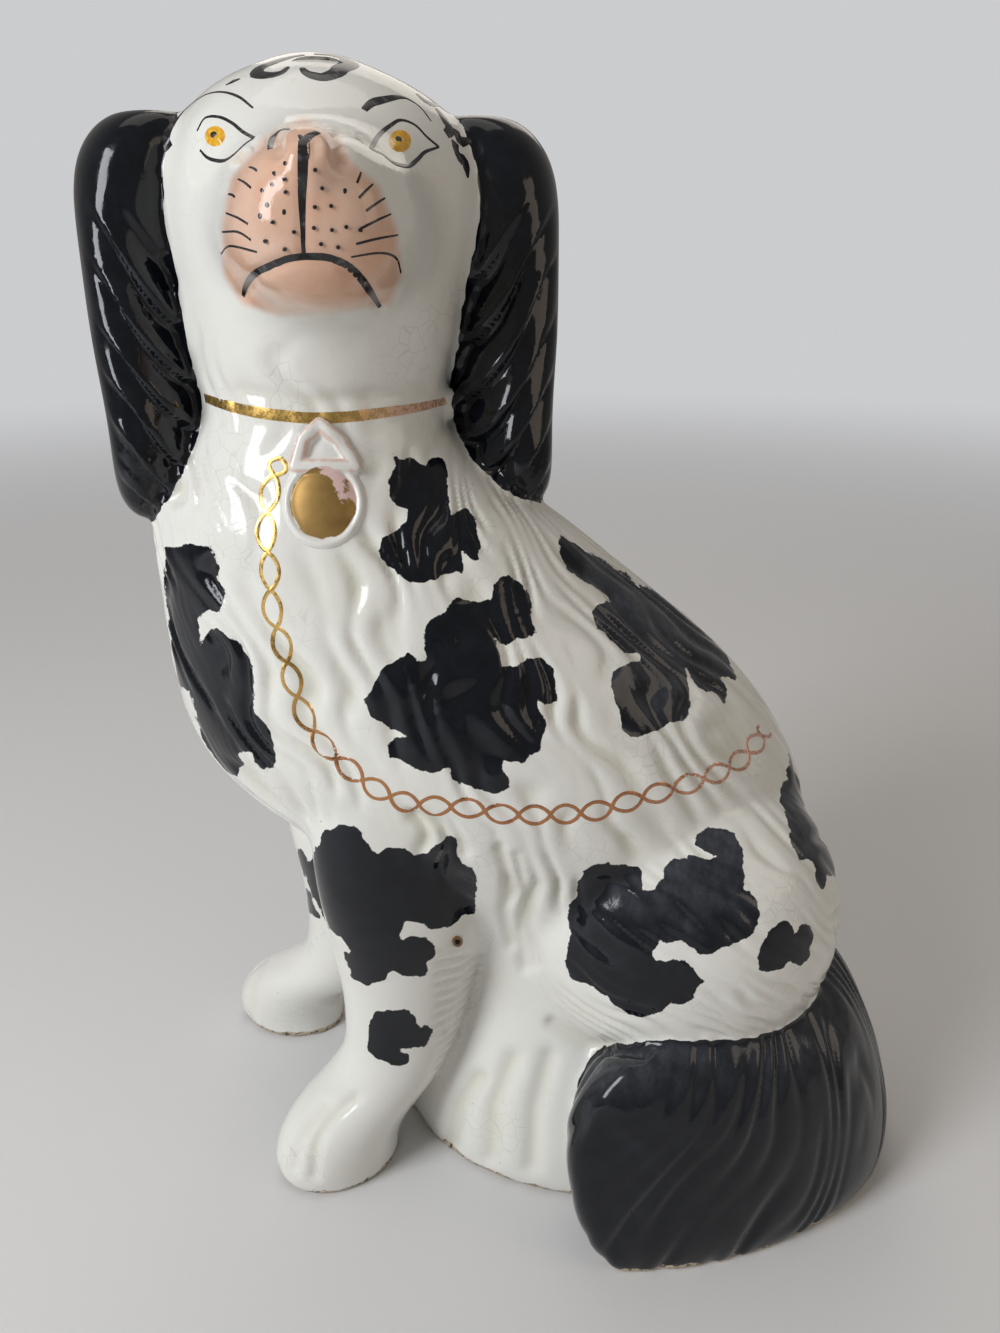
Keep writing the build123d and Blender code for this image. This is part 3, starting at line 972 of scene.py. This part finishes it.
curls = {
    "crownCurlLeft": (
        [(304, 55), (291, 57), (274, 62), (260, 68), (257, 74), (270, 75), (282, 72), (288, 67)],
        (0.8, 1.6, 2.4, 2.9, 2.6, 2.4, 1.8, 0.8)),
    "crownCurlRight": (
        [(314, 54), (331, 55), (346, 59), (350, 64), (340, 69), (336, 73), (322, 77), (307, 73),
         (302, 68)],
        (0.9, 1.8, 2.6, 3.4, 3.2, 2.8, 2.6, 2.2, 1.0)),
    "sideCurl": (
        [(391, 68), (378, 67), (370, 71), (376, 77), (389, 78), (398, 85), (408, 90)],
        (0.8, 1.8, 2.2, 1.8, 1.4, 1.2, 0.6)),
    "templeStroke": ([(417, 94), (427, 102), (437, 105)], (1.2, 2.2, 1.0)),
    "templeCurl": ([(437, 109), (445, 120), (450, 130), (446, 134)], (1.4, 2.4, 2.8, 1.6)),
    "templeHook": ([(456, 130), (460, 141), (471, 140)], (1.6, 2.4, 0.8)),
    "templeTail": (
        [(455, 142), (456, 150), (460, 158), (465, 162), (468, 178)],
        (2.0, 1.6, 2.2, 2.2, 0.6)),
    "leftTouch": ([(226, 85), (234, 81), (240, 79)], (0.4, 1.4, 0.5)),
}


# The pinhole in the foreleg, the irises and the pupils: pixels across and down, and radius of each dab
dabs = {
    "pinholeStain": [(457, 941, 5.2)],
    "pinholeDark": [(457, 941, 2.8)],
    "irises": [(215, 136, 10.0), (400, 141, 11.0)],
    "pupils": [(214, 135, 4.6), (399, 140, 5.2)],
}


def paintDabs(name, rise, material):
    bm = bmesh.new()
    for x, y, radius in dabs[name]:
        layDisc(bm, x, y, radius, rise)
    finishPaint(bm, name, material)


def paintFace():
    bm = bmesh.new()
    for line, widths in faceLines.values():
        layStroke(bm, line, [brushSet["faceGain"] * w * mm for w in widths])
    for line in whiskers:
        if len(line) == 2:
            (x0, y0), (x1, y1) = line
            line = [(x0, y0), ((x0 + x1) / 2 + 0.5, (y0 + y1) / 2 - 0.8), (x1, y1)]
        layStroke(bm, line, brushSet["whisker"], rise=brushSet["fine"])
    for x, y in whiskerDots:
        layDisc(bm, x, y, brushSet["dot"], brushSet["fine"])
    finishPaint(bm, "faceLines", lineEnamel)
    bm = bmesh.new()
    for line, widths in curls.values():
        layStroke(bm, line, [brushSet["curlGain"] * w * mm for w in widths], rise=brushSet["curl"])
    finishPaint(bm, "foreheadCurls", lineEnamel)


chainSet = {
    "middle": [(281, 458), (270, 492), (266, 534), (270, 572), (272, 608), (282, 645), (292, 680),
        (304, 714), (324, 746), (349, 769), (376, 789), (405, 802), (435, 806), (468, 808), (502, 814),
        (535, 815), (566, 814), (596, 811), (627, 802), (658, 793), (688, 784), (720, 772), (740, 760),
        (756, 743), (766, 728)],
    "swing": 9.0,  # pixels that each strand swings out from the middle
    "width": 1.05 * mm,
    "rise": (0.14, 0.03),  # millimetres: middle height of the strands, and the step between them
}
# width in millimetres along each line, and height
collarSet = {
    "band": ([(205, 398), (225, 405), (255, 412), (285, 416), (311, 418), (345, 417), (380, 413),
              (415, 408), (446, 401)], (2.2, 2.7, 2.7, 2.6, 2.6, 2.4, 1.8), 0.10 * mm),
    "link": ([(308, 420), (311, 422), (316, 420)], (1.2, 2.4, 1.2), 0.16 * mm),
}


def paintGilding():
    # two strands cross between every two links
    middle = chainSet["middle"]
    path = smoothLine(middle, 2.0)
    marks = []
    for i in range(len(middle) - 1):
        marks.append(((middle[i][0] + middle[i + 1][0]) / 2, (middle[i][1] + middle[i + 1][1]) / 2))
    nearest = [int(np.argmin(np.hypot(path[:, 0] - x, path[:, 1] - y))) for x, y in marks]
    stops = [0] + nearest + [len(path) - 1]
    phase = np.interp(np.arange(len(path)), stops, np.arange(len(stops)))
    way = np.gradient(path, axis=0)
    way /= np.linalg.norm(way, axis=1)[:, None]
    sideways = np.stack([-way[:, 1], way[:, 0]], axis=1)
    rise, gap = chainSet["rise"]
    bm = bmesh.new()
    for turn in (1, -1):
        wave = np.sin(pi * phase)
        swing = turn * chainSet["swing"] * np.sign(wave) * np.abs(wave) ** 0.75
        strand = path + sideways * swing[:, None]
        layStroke(bm, [tuple(p) for p in strand[::2]], chainSet["width"], rise=(rise + gap * turn) * mm)
    finishPaint(bm, "chain", gilding)
    bm = bmesh.new()
    for line, widths, rise in collarSet.values():
        layStroke(bm, line, [w * mm for w in widths], rise=rise)
    finishPaint(bm, "collar", gilding)


# Materials
def plug(tree, socket, value):
    if isinstance(value, bpy.types.NodeSocket):
        tree.links.new(value, socket)
    else:
        socket.default_value = value


def addNode(tree, kind, settings=None, **inputs):
    made = tree.nodes.new(kind)
    for key, value in (settings or {}).items():
        setattr(made, key, value)
    for key, value in inputs.items():
        numbered = key[0] == "i" and key[1:].isdigit()
        plug(tree, made.inputs[int(key[1:])] if numbered else made.inputs[key], value)
    return made


def newMaterial(name):
    material = bpy.data.materials.new(name)
    material.use_nodes = True
    tree = material.node_tree
    tree.nodes.clear()
    shader = tree.nodes.new("ShaderNodeBsdfPrincipled")
    out = tree.nodes.new("ShaderNodeOutputMaterial")
    tree.links.new(shader.outputs[0], out.inputs[0])
    place = tree.nodes.new("ShaderNodeTexCoord").outputs["Object"]
    return material, tree, shader, place


def dress(tree, shader, values):
    for name, value in values.items():
        plug(tree, shader.inputs[name], value)


def mathNode(tree, operation, first, second=0.0, clamp=False):
    return addNode(tree, "ShaderNodeMath", {"operation": operation, "use_clamp": clamp},
                   i0=first, i1=second).outputs[0]


def plus(tree, first, second):
    return mathNode(tree, "ADD", first, second)


def minus(tree, first, second):
    return mathNode(tree, "SUBTRACT", first, second)


def times(tree, first, second):
    return mathNode(tree, "MULTIPLY", first, second)


def mapRange(tree, value, low, high, newLow=0.0, newHigh=1.0):
    return addNode(tree, "ShaderNodeMapRange", {"interpolation_type": "SMOOTHSTEP"},
                   i0=value, i1=low, i2=high, i3=newLow, i4=newHigh).outputs[0]


def mixColour(tree, factor, first, second):
    made = tree.nodes.new("ShaderNodeMix")
    made.data_type = "RGBA"
    for socket, value in ((0, factor), (6, first), (7, second)):
        plug(tree, made.inputs[socket], value)
    return made.outputs[2]


def noiseNode(tree, place, scale, detail=3.0, rough=0.55):
    return addNode(tree, "ShaderNodeTexNoise", Vector=place, Scale=scale, Detail=detail,
                   Roughness=rough).outputs[0]


def cellNode(tree, place, feature, scale):
    return addNode(tree, "ShaderNodeTexVoronoi", {"feature": feature}, Vector=place, Scale=scale,
                   Randomness=1.0).outputs["Distance"]


def mottle(tree, place, grain, limits):
    # noise of a scale, detail and roughness, spread between the limits
    return mapRange(tree, noiseNode(tree, place, *grain), *limits)


def wander(tree, place, grain, size):
    return times(tree, noiseNode(tree, place, *grain), size)


def attribute(tree, name):
    made = tree.nodes.new("ShaderNodeAttribute")
    made.attribute_name = name
    return made.outputs["Fac"]


glazeSet = {
    "white": (0.77, 0.76, 0.71, 1),
    "cream": (0.66, 0.64, 0.52, 1),
    "pink": (0.68, 0.40, 0.27, 1),
    "black": (0.003, 0.004, 0.007, 1),
    "washed": (0.008, 0.010, 0.014, 1),
    # grey of the dry brushwork, and painted sheen on the upward faces of the black
    "brushAndSheen": (0.060, 0.066, 0.078, 1),
    "chip": (0.50, 0.42, 0.31, 1),
    "grit": (0.10, 0.075, 0.05, 1),
    "crack": (0.42, 0.40, 0.34, 1),
    # grain and limits of each mottling
    "pool": ((28.0,), (0.5, 0.75, 0.0, 0.25)),
    "crazed": ((45.0, 2.0), (0.48, 0.68)),
    "flush": ((90.0,), (0.2, 0.8, 0.75, 1.0)),
    "streak": ((160.0, 4.0, 0.65), (0.35, 0.8)),
    "brush": ((260.0, 5.0, 0.7), (0.30, 0.75, 0.35, 1.0)),
    "dirt": ((800.0, 3.0), (0.52, 0.6)),
    "gloss": ((300.0,), (0.3, 0.7, 0.05, 0.16)),
    # grain and size of what wanders
    "ragged": ((190.0, 4.0, 0.6), 3.6),
    "footLine": ((130.0, 4.0, 0.6), -0.008),
    "dimples": ((260.0,), 0.35),
    # where each mark begins and where it is full
    "hollow": (0.1, 1.3),
    "crackEdge": (0.0, 0.035, 1.0, 0.0),
    "blush": (0.9, -1.4),
    "enamelEdge": (0.12, -0.12),
    "wornEdge": (-0.0012, -0.0018),
    "speck": (0.022, 0.012),
    # how strongly each mark shows
    "poolAndHollowShade": 0.55,
    "cracked": 0.35,
    "specked": 0.7,
    "wornRough": 0.6,
    "enamelRise": 0.25,
    "crackSink": 0.05,
    "crackScale": 230.0,
    "speckScale": 70.0,
    "brushStretch": (1, 1, 0.3),
    "bump": {"Strength": 0.5, "Distance": 0.0004},
    "shader": {"IOR": 1.47, "Specular IOR Level": 0.38, "Coat Weight": 0.1, "Coat Roughness": 0.04},
}


def makeGlaze(name):
    material, tree, shader, place = newMaterial(name)
    # glaze pooled in the sunk relief, and painted shade of the hollows: the white turns a darker cream
    # there
    poolAndHollowShade = mapRange(tree, attribute(tree, "hollow"), *glazeSet["hollow"])
    poolAndHollowShade = mathNode(tree, "ADD", times(tree, poolAndHollowShade, glazeSet["poolAndHollowShade"]),
                      mottle(tree, place, *glazeSet["pool"]), clamp=True)
    colour = mixColour(tree, poolAndHollowShade, glazeSet["white"], glazeSet["cream"])
    # fine crazing, plainer in some places than in others
    cells = cellNode(tree, place, "DISTANCE_TO_EDGE", glazeSet["crackScale"])
    crack = mapRange(tree, cells, *glazeSet["crackEdge"])
    crack = times(tree, crack, mottle(tree, place, *glazeSet["crazed"]))
    colour = mixColour(tree, times(tree, crack, glazeSet["cracked"]), colour, glazeSet["crack"])
    blushed = mapRange(tree, attribute(tree, "blush"), *glazeSet["blush"])
    blushed = times(tree, blushed, mottle(tree, place, *glazeSet["flush"]))
    colour = mixColour(tree, blushed, colour, glazeSet["pink"])
    # black enamel with a ragged brushed edge
    grain, size = glazeSet["ragged"]
    ragged = times(tree, minus(tree, noiseNode(tree, place, *grain), 0.5), size)
    painted = mapRange(tree, plus(tree, attribute(tree, "dark"), ragged), *glazeSet["enamelEdge"])
    streak = mottle(tree, place, *glazeSet["streak"])
    enamel = mixColour(tree, streak, glazeSet["black"], glazeSet["washed"])
    # dry brushwork lets the ground show through on the upper faces, and a painted sheen greys them
    stretch = addNode(tree, "ShaderNodeMapping", Vector=place, Scale=glazeSet["brushStretch"]).outputs[0]
    brushedSheen = times(tree, attribute(tree, "brushAndSheen"), mottle(tree, stretch, *glazeSet["brush"]))
    enamel = mixColour(tree, brushedSheen, enamel, glazeSet["brushAndSheen"])
    colour = mixColour(tree, painted, colour, enamel)
    # worn foot: the glaze is chipped away along the bottom edge and dirt sits in the clay
    height = addNode(tree, "ShaderNodeSeparateXYZ", i0=place).outputs[2]
    worn = plus(tree, height, wander(tree, place, *glazeSet["footLine"]))
    worn = mapRange(tree, worn, *glazeSet["wornEdge"])
    clay = mixColour(tree, mottle(tree, place, *glazeSet["dirt"]), glazeSet["chip"], glazeSet["grit"])
    colour = mixColour(tree, worn, colour, clay)
    # small iron specks in the clay
    speck = mapRange(tree, cellNode(tree, place, "F1", glazeSet["speckScale"]), *glazeSet["speck"])
    colour = mixColour(tree, times(tree, speck, glazeSet["specked"]), colour, glazeSet["grit"])
    rough = plus(tree, mottle(tree, place, *glazeSet["gloss"]), times(tree, worn, glazeSet["wornRough"]))
    height = times(tree, painted, glazeSet["enamelRise"])
    height = plus(tree, height, wander(tree, place, *glazeSet["dimples"]))
    height = minus(tree, height, times(tree, crack, glazeSet["crackSink"]))
    bump = addNode(tree, "ShaderNodeBump", Height=height, **glazeSet["bump"]).outputs[0]
    dress(tree, shader, {"Base Color": colour, "Roughness": rough, "Normal": bump, **glazeSet["shader"]})
    return material


whiteGlaze = makeGlaze("whiteGlaze")
blackEnamel = makeGlaze("blackEnamel")
for nodeName, piece in pieces.items():
    enamelled = nodeName in ("left_ear", "right_ear", "tail")
    piece.data.materials.clear()
    piece.data.materials.append(blackEnamel if enamelled else whiteGlaze)
print("glazed")


# Enamels of the lines and dabs
enamelSet = {
    # two colours, grain and limits of the mottling, limits of the roughness
    "lineEnamel": ((0.018, 0.016, 0.018, 1), (0.09, 0.085, 0.09, 1),
                   (500.0, 3.0), (0.5, 0.75), (0.14, 0.3)),
    "ironStain": ((0.16, 0.07, 0.03, 1), (0.30, 0.16, 0.08, 1),
                  (1200.0, 3.0), (0.4, 0.6), (0.3, 0.5)),
    "yellowEnamel": ((0.80, 0.52, 0.05, 1), (0.70, 0.30, 0.01, 1),
                     (900.0, 3.0), (0.35, 0.65), (0.1, 0.2)),
}


def makeEnamel(name):
    first, second, grain, limits, rough = enamelSet[name]
    material, tree, shader, place = newMaterial(name)
    mottled = mottle(tree, place, grain, limits)
    dress(tree, shader, {"Base Color": mixColour(tree, mottled, first, second),
                         "Roughness": mapRange(tree, mottled, 0.0, 1.0, *rough)})
    return material


giltSet = {
    "gold": (0.62, 0.40, 0.12, 1),
    "copper": (0.50, 0.23, 0.11, 1),
    "worn": (0.62, 0.40, 0.34, 1),
    "brown": (0.16, 0.07, 0.03, 1),
    "broad": ((60.0, 3.0), 0.05),
    "rub": ((700.0, 4.0, 0.7), (0.42, 0.58)),
    "speck": ((1500.0, 2.0), (0.62, 0.68)),
    # places in metres between which the copper and the wear come in
    "low": (0.215, 0.165),
    "rear": (-0.01, 0.06),
    "right": (-0.068, -0.045),
    "up": (0.232, 0.238),
    "wear": (0.5, 0.45),
    "metal": 0.85,
    "rough": (0.22, 0.42),
}


def makeGilding():
    # gold at the throat, copper along the chain, worn to pink towards the rump and the collar's right
    material, tree, shader, place = newMaterial("gilding")
    axes = addNode(tree, "ShaderNodeSeparateXYZ", i0=place).outputs
    low = mapRange(tree, plus(tree, axes[2], wander(tree, place, *giltSet["broad"])), *giltSet["low"])
    colour = mixColour(tree, low, giltSet["gold"], giltSet["copper"])
    rubbed = mottle(tree, place, *giltSet["rub"])
    rear = mapRange(tree, axes[0], *giltSet["rear"])
    upRight = mapRange(tree, axes[0], *giltSet["right"])
    upRight = times(tree, upRight, mapRange(tree, axes[2], *giltSet["up"]))
    gain, least = giltSet["wear"]
    wear = mathNode(tree, "MULTIPLY", mathNode(tree, "MAXIMUM", rear, upRight),
                    plus(tree, times(tree, rubbed, gain), least), clamp=True)
    colour = mixColour(tree, wear, colour, giltSet["worn"])
    specks = times(tree, mottle(tree, place, *giltSet["speck"]), upRight)
    colour = mixColour(tree, specks, colour, giltSet["brown"])
    metal = mathNode(tree, "SUBTRACT", 1.0, wear, clamp=True)
    dress(tree, shader, {"Base Color": colour, "Metallic": times(tree, metal, giltSet["metal"]),
                         "Roughness": mapRange(tree, rubbed, 0.0, 1.0, *giltSet["rough"])})
    return material


lineEnamel = makeEnamel("lineEnamel")
ironStain = makeEnamel("ironStain")
yellowEnamel = makeEnamel("yellowEnamel")
gilding = makeGilding()
paintFace()
paintDabs("irises", 0.16 * mm, yellowEnamel)
paintDabs("pupils", 0.28 * mm, lineEnamel)
paintDabs("pinholeStain", 0.06 * mm, ironStain)
paintDabs("pinholeDark", 0.10 * mm, lineEnamel)
paintGilding()
print("lines painted")


# Padlock, pressed as a sprig: a low oval with a raised rim, and a three-cornered shackle
lockSet = {
    "middle": (324, 503),
    "reach": (33, 36),  # half width and half height of the gilt oval, in pixels
    "shackle": [(296, 466), (304, 440), (320, 425), (340, 440), (356, 466)],
    "bar": 6.0,  # pixels, half width of the shackle's bar
    "dome": 1.9 * mm,
    "rim": 1.1 * mm,
    "spread": (70, 82),
    "step": 1.5,
    "lift": 18,  # pixels by which the sprig's grid sits above the oval
    "fullness": 2.4,
    "rimAt": (1.12, 0.13),  # where the rim runs, and its width, as shares of the oval
    "rimFall": (1.2, 1.42),
    "fall": 0.6 * mm,
    "hoop": 1.7 * mm,
    "hoopWidth": 1.5,  # as a share of the bar, like the two below
    "hoopFall": (1.2, 1.6),
    "pinkLine": (0.9, 0.35, 1.5),  # middle, half width and softness
    "web": 0.15 * mm,  # clay inside the shackle
    "least": -0.3 * mm,  # lower than this the sprig ends
    "goldScale": 0.25,
    "lean": -0.1,
    "thickness": 1.0 * mm,
}


def addPadlock():
    bm = bmesh.new()
    x0, y0 = lockSet["middle"]
    across, up = lockSet["spread"]
    columns = int(2 * across / lockSet["step"])
    rows = int(2 * up / lockSet["step"])
    bmesh.ops.create_grid(bm, x_segments=columns, y_segments=rows, size=1.0)
    layer = bm.verts.layers.float.new("gold")
    pink = bm.verts.layers.float.new("pink")
    verts = list(bm.verts)
    us = np.array([x0 + v.co.x * across for v in verts])
    vs = np.array([y0 - lockSet["lift"] + v.co.y * up for v in verts])
    a, b = lockSet["reach"]
    fall = lockSet["fall"]
    r = np.hypot((us - x0) / a, (vs - y0) / b)
    dome = lockSet["dome"] * np.sqrt(np.clip(1 - r ** lockSet["fullness"], 0, 1))
    rimPlace, rimWidth = lockSet["rimAt"]
    rim = lockSet["rim"] * np.exp(-((r - rimPlace) / rimWidth) ** 2)
    body = np.maximum(dome, rim) - fall * smoothstep(*lockSet["rimFall"], r)
    bar = lineGap(lockSet["shackle"] + lockSet["shackle"][:1], us, vs) / lockSet["bar"]
    hoop = lockSet["hoop"] * np.sqrt(np.clip(1 - (bar / lockSet["hoopWidth"]) ** 2, 0, 1))
    height = np.maximum(body, hoop - fall * smoothstep(*lockSet["hoopFall"], bar))
    inHoop = outlineGap(lockSet["shackle"], us, vs) < 0
    height = np.where(inHoop, np.maximum(height, lockSet["web"]), height)
    turns = np.linspace(0, 2 * pi, 40, endpoint=False)
    gold = outlineGap([(x0 + a * cos(t), y0 + b * sin(t)) for t in turns], us, vs)
    pinkPlace, pinkHalf, pinkSoft = lockSet["pinkLine"]
    lost = []
    out = (shotAxes()[2] + Vector((0, 0, lockSet["lean"]))).normalized()
    for vert, u, v, h, g, k in zip(verts, us, vs, height, gold, bar):
        place, normal = dropOnSkin(u, v)
        if place is None or h < lockSet["least"]:
            lost.append(vert)
            continue
        vert.co = place + out * h
        vert[layer] = g * lockSet["goldScale"]
        vert[pink] = (abs(k - pinkPlace) - pinkHalf) * pinkSoft
    bmesh.ops.delete(bm, geom=lost, context="VERTS")
    bmesh.ops.recalc_face_normals(bm, faces=bm.faces)
    bm.faces.ensure_lookup_table()
    if sum(f.normal.dot(out) for f in bm.faces) < 0:
        bmesh.ops.reverse_faces(bm, faces=bm.faces)
    bmesh.ops.smooth_vert(bm, verts=bm.verts, factor=0.5, use_axis_x=True, use_axis_y=True,
                          use_axis_z=True)
    bmesh.ops.solidify(bm, geom=bm.faces, thickness=lockSet["thickness"])
    bmesh.ops.recalc_face_normals(bm, faces=bm.faces)
    mesh = freshMesh(bm, "padlock_sprig")
    mesh.shade_smooth()
    piece = meshObject("padlock_sprig", mesh)
    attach(piece, "root")
    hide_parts("padlock")
    return piece


lockGiltSet = {
    "pale": (0.44, 0.28, 0.09, 1),
    "deep": (0.26, 0.15, 0.05, 1),
    "bare": (0.72, 0.52, 0.48, 1),
    "line": (0.66, 0.42, 0.34, 1),
    "grain": 300.0,
    "ragged": ((380.0, 4.0), 1.6),
    "gold": (0.1, -0.15),
    "rub": ((260.0, 4.0, 0.65), 0.016),
    "slope": 0.7,  # how much of the height counts in the line where the gilt is rubbed off
    "rubbed": (0.0975, 0.0985),
    "edge": (0.1, -0.4),
    "edgeShare": 0.7,
    "metal": 0.75,
    "rough": (0.12, 0.5),
}


def makeLockGilding():
    material, tree, shader, place = newMaterial("lockGilding")
    axes = addNode(tree, "ShaderNodeSeparateXYZ", i0=place).outputs
    grain, size = lockGiltSet["ragged"]
    ragged = times(tree, minus(tree, noiseNode(tree, place, *grain), 0.5), size)
    gold = mapRange(tree, plus(tree, attribute(tree, "gold"), ragged), *lockGiltSet["gold"])
    slope = plus(tree, axes[0], times(tree, axes[2], lockGiltSet["slope"]))
    slope = plus(tree, slope, wander(tree, place, *lockGiltSet["rub"]))
    rubbed = mapRange(tree, slope, *lockGiltSet["rubbed"])
    grainy = noiseNode(tree, place, lockGiltSet["grain"])
    colour = mixColour(tree, grainy, lockGiltSet["pale"], lockGiltSet["deep"])
    colour = mixColour(tree, rubbed, colour, lockGiltSet["bare"])
    colour = mixColour(tree, gold, glazeSet["white"], colour)
    edge = mapRange(tree, plus(tree, attribute(tree, "pink"), ragged), *lockGiltSet["edge"])
    edge = times(tree, edge, minus(tree, 1.0, gold))
    colour = mixColour(tree, times(tree, edge, lockGiltSet["edgeShare"]), colour, lockGiltSet["line"])
    metal = times(tree, gold, minus(tree, 1.0, rubbed))
    dress(tree, shader, {"Base Color": colour, "Metallic": times(tree, metal, lockGiltSet["metal"]),
                         "Roughness": mapRange(tree, metal, 0.0, 1.0, *lockGiltSet["rough"])})
    return material


addPadlock().data.materials.append(makeLockGilding())
print("padlock pressed")


# The bare clay of the base and of the seam's inner roll
claySet = {
    "pale": (0.62, 0.56, 0.45, 1),
    "stained": (0.40, 0.33, 0.24, 1),
    "grit": (0.12, 0.09, 0.06, 1),
    "stain": ((35.0, 5.0, 0.65), (0.4, 0.7)),
    "speck": ((900.0, 2.0), (0.68, 0.74)),
    "rough": (0.7, 0.9),
    "pits": (450.0, 5.0, 0.7),
    "bump": {"Strength": 0.4, "Distance": 0.0005},
}


def makeBareClay():
    material, tree, shader, place = newMaterial("bareClay")
    stain = mottle(tree, place, *claySet["stain"])
    colour = mixColour(tree, stain, claySet["pale"], claySet["stained"])
    colour = mixColour(tree, mottle(tree, place, *claySet["speck"]), colour, claySet["grit"])
    pits = noiseNode(tree, place, *claySet["pits"])
    bump = addNode(tree, "ShaderNodeBump", Height=pits, **claySet["bump"])
    dress(tree, shader, {"Base Color": colour, "Normal": bump.outputs[0],
                         "Roughness": mapRange(tree, stain, 0.0, 1.0, *claySet["rough"])})
    return material


bareClay = makeBareClay()
for nodeName in ("base_slab", "seam_roll"):
    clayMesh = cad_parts[nodeName].data
    clayMesh.materials.clear()
    clayMesh.materials.append(bareClay)


# Floor, world and lights. The world is the backdrop that the camera sees.
stageSet = {
    "pale": (0.70, 0.70, 0.71, 1),
    "warm": (0.74, 0.73, 0.72, 1),
    "radius": 4.0,
    "grain": 3.0,
    "rough": 0.8,
    "fade": (0.2, 2.2),  # distances from the middle between which the floor fades away
}


def addStage():
    bm = bmesh.new()
    bmesh.ops.create_circle(bm, cap_ends=True, segments=96, radius=stageSet["radius"])
    floor = meshObject("studioFloor", freshMesh(bm, "studioFloor"))
    material, tree, shader, place = newMaterial("palePaper")
    tint = mixColour(tree, noiseNode(tree, place, stageSet["grain"]), stageSet["pale"], stageSet["warm"])
    dress(tree, shader, {"Base Color": tint, "Roughness": stageSet["rough"]})
    # for the camera the floor fades into the backdrop
    far = addNode(tree, "ShaderNodeVectorMath", {"operation": "LENGTH"}, i0=place).outputs["Value"]
    seen = tree.nodes.new("ShaderNodeLightPath").outputs["Is Camera Ray"]
    faded = times(tree, mapRange(tree, far, *stageSet["fade"]), seen)
    glow = addNode(tree, "ShaderNodeEmission", Color=worldSet["backdrop"], Strength=1.0)
    both = addNode(tree, "ShaderNodeMixShader", i0=faded, i1=shader.outputs[0], i2=glow.outputs[0])
    tree.links.new(both.outputs[0], tree.nodes["Material Output"].inputs[0])
    floor.data.materials.append(material)


worldSet = {"light": (0.86, 0.83, 0.79, 1), "strength": 0.26, "backdrop": (0.60, 0.605, 0.62, 1)}
lampSet = {
    # name: place, aim, width, height, watts, colour
    "windowLamp": ((-0.85, -0.40, 0.62), (-0.03, 0, 0.16), 0.35, 0.7, 8.2, (0.93, 0.96, 1.0)),
    "rightLamp": ((0.8, -0.6, 0.5), (0, 0, 0.16), 0.5, 0.5, 1.1, (1.0, 0.83, 0.66)),
    "topLamp": ((-0.1, 0.1, 1.2), (0, 0, 0.1), 0.7, 0.7, 1.4, (1, 0.95, 0.88)),
    "backLamp": ((0.2, 0.9, 0.9), (0, 0, 0.15), 0.8, 0.6, 1.7, (1, 0.92, 0.84)),
}


def addLamps():
    for name, (place, aim, width, height, watts, colour) in lampSet.items():
        data = bpy.data.lights.new(name, "AREA")
        data.shape = "RECTANGLE"
        data.size = width
        data.size_y = height
        data.energy = watts
        data.color = colour
        lamp = bpy.data.objects.new(name, data)
        bpy.context.scene.collection.objects.link(lamp)
        lamp.location = place
        lamp.rotation_euler = (Vector(aim) - Vector(place)).to_track_quat("-Z", "Y").to_euler()


def addWorld():
    world = bpy.data.worlds.new("studio")
    bpy.context.scene.world = world
    world.use_nodes = True
    tree = world.node_tree
    light = tree.nodes["Background"]
    light.inputs[0].default_value = worldSet["light"]
    light.inputs[1].default_value = worldSet["strength"]
    backdrop = addNode(tree, "ShaderNodeBackground", i0=worldSet["backdrop"], i1=1.0)
    seen = tree.nodes.new("ShaderNodeLightPath").outputs["Is Camera Ray"]
    both = addNode(tree, "ShaderNodeMixShader", i0=seen, i1=light.outputs[0], i2=backdrop.outputs[0])
    tree.links.new(both.outputs[0], tree.nodes["World Output"].inputs[0])


addStage()
addLamps()
addWorld()
bpy.context.scene.view_settings.view_transform = "Standard"
print("stage set")
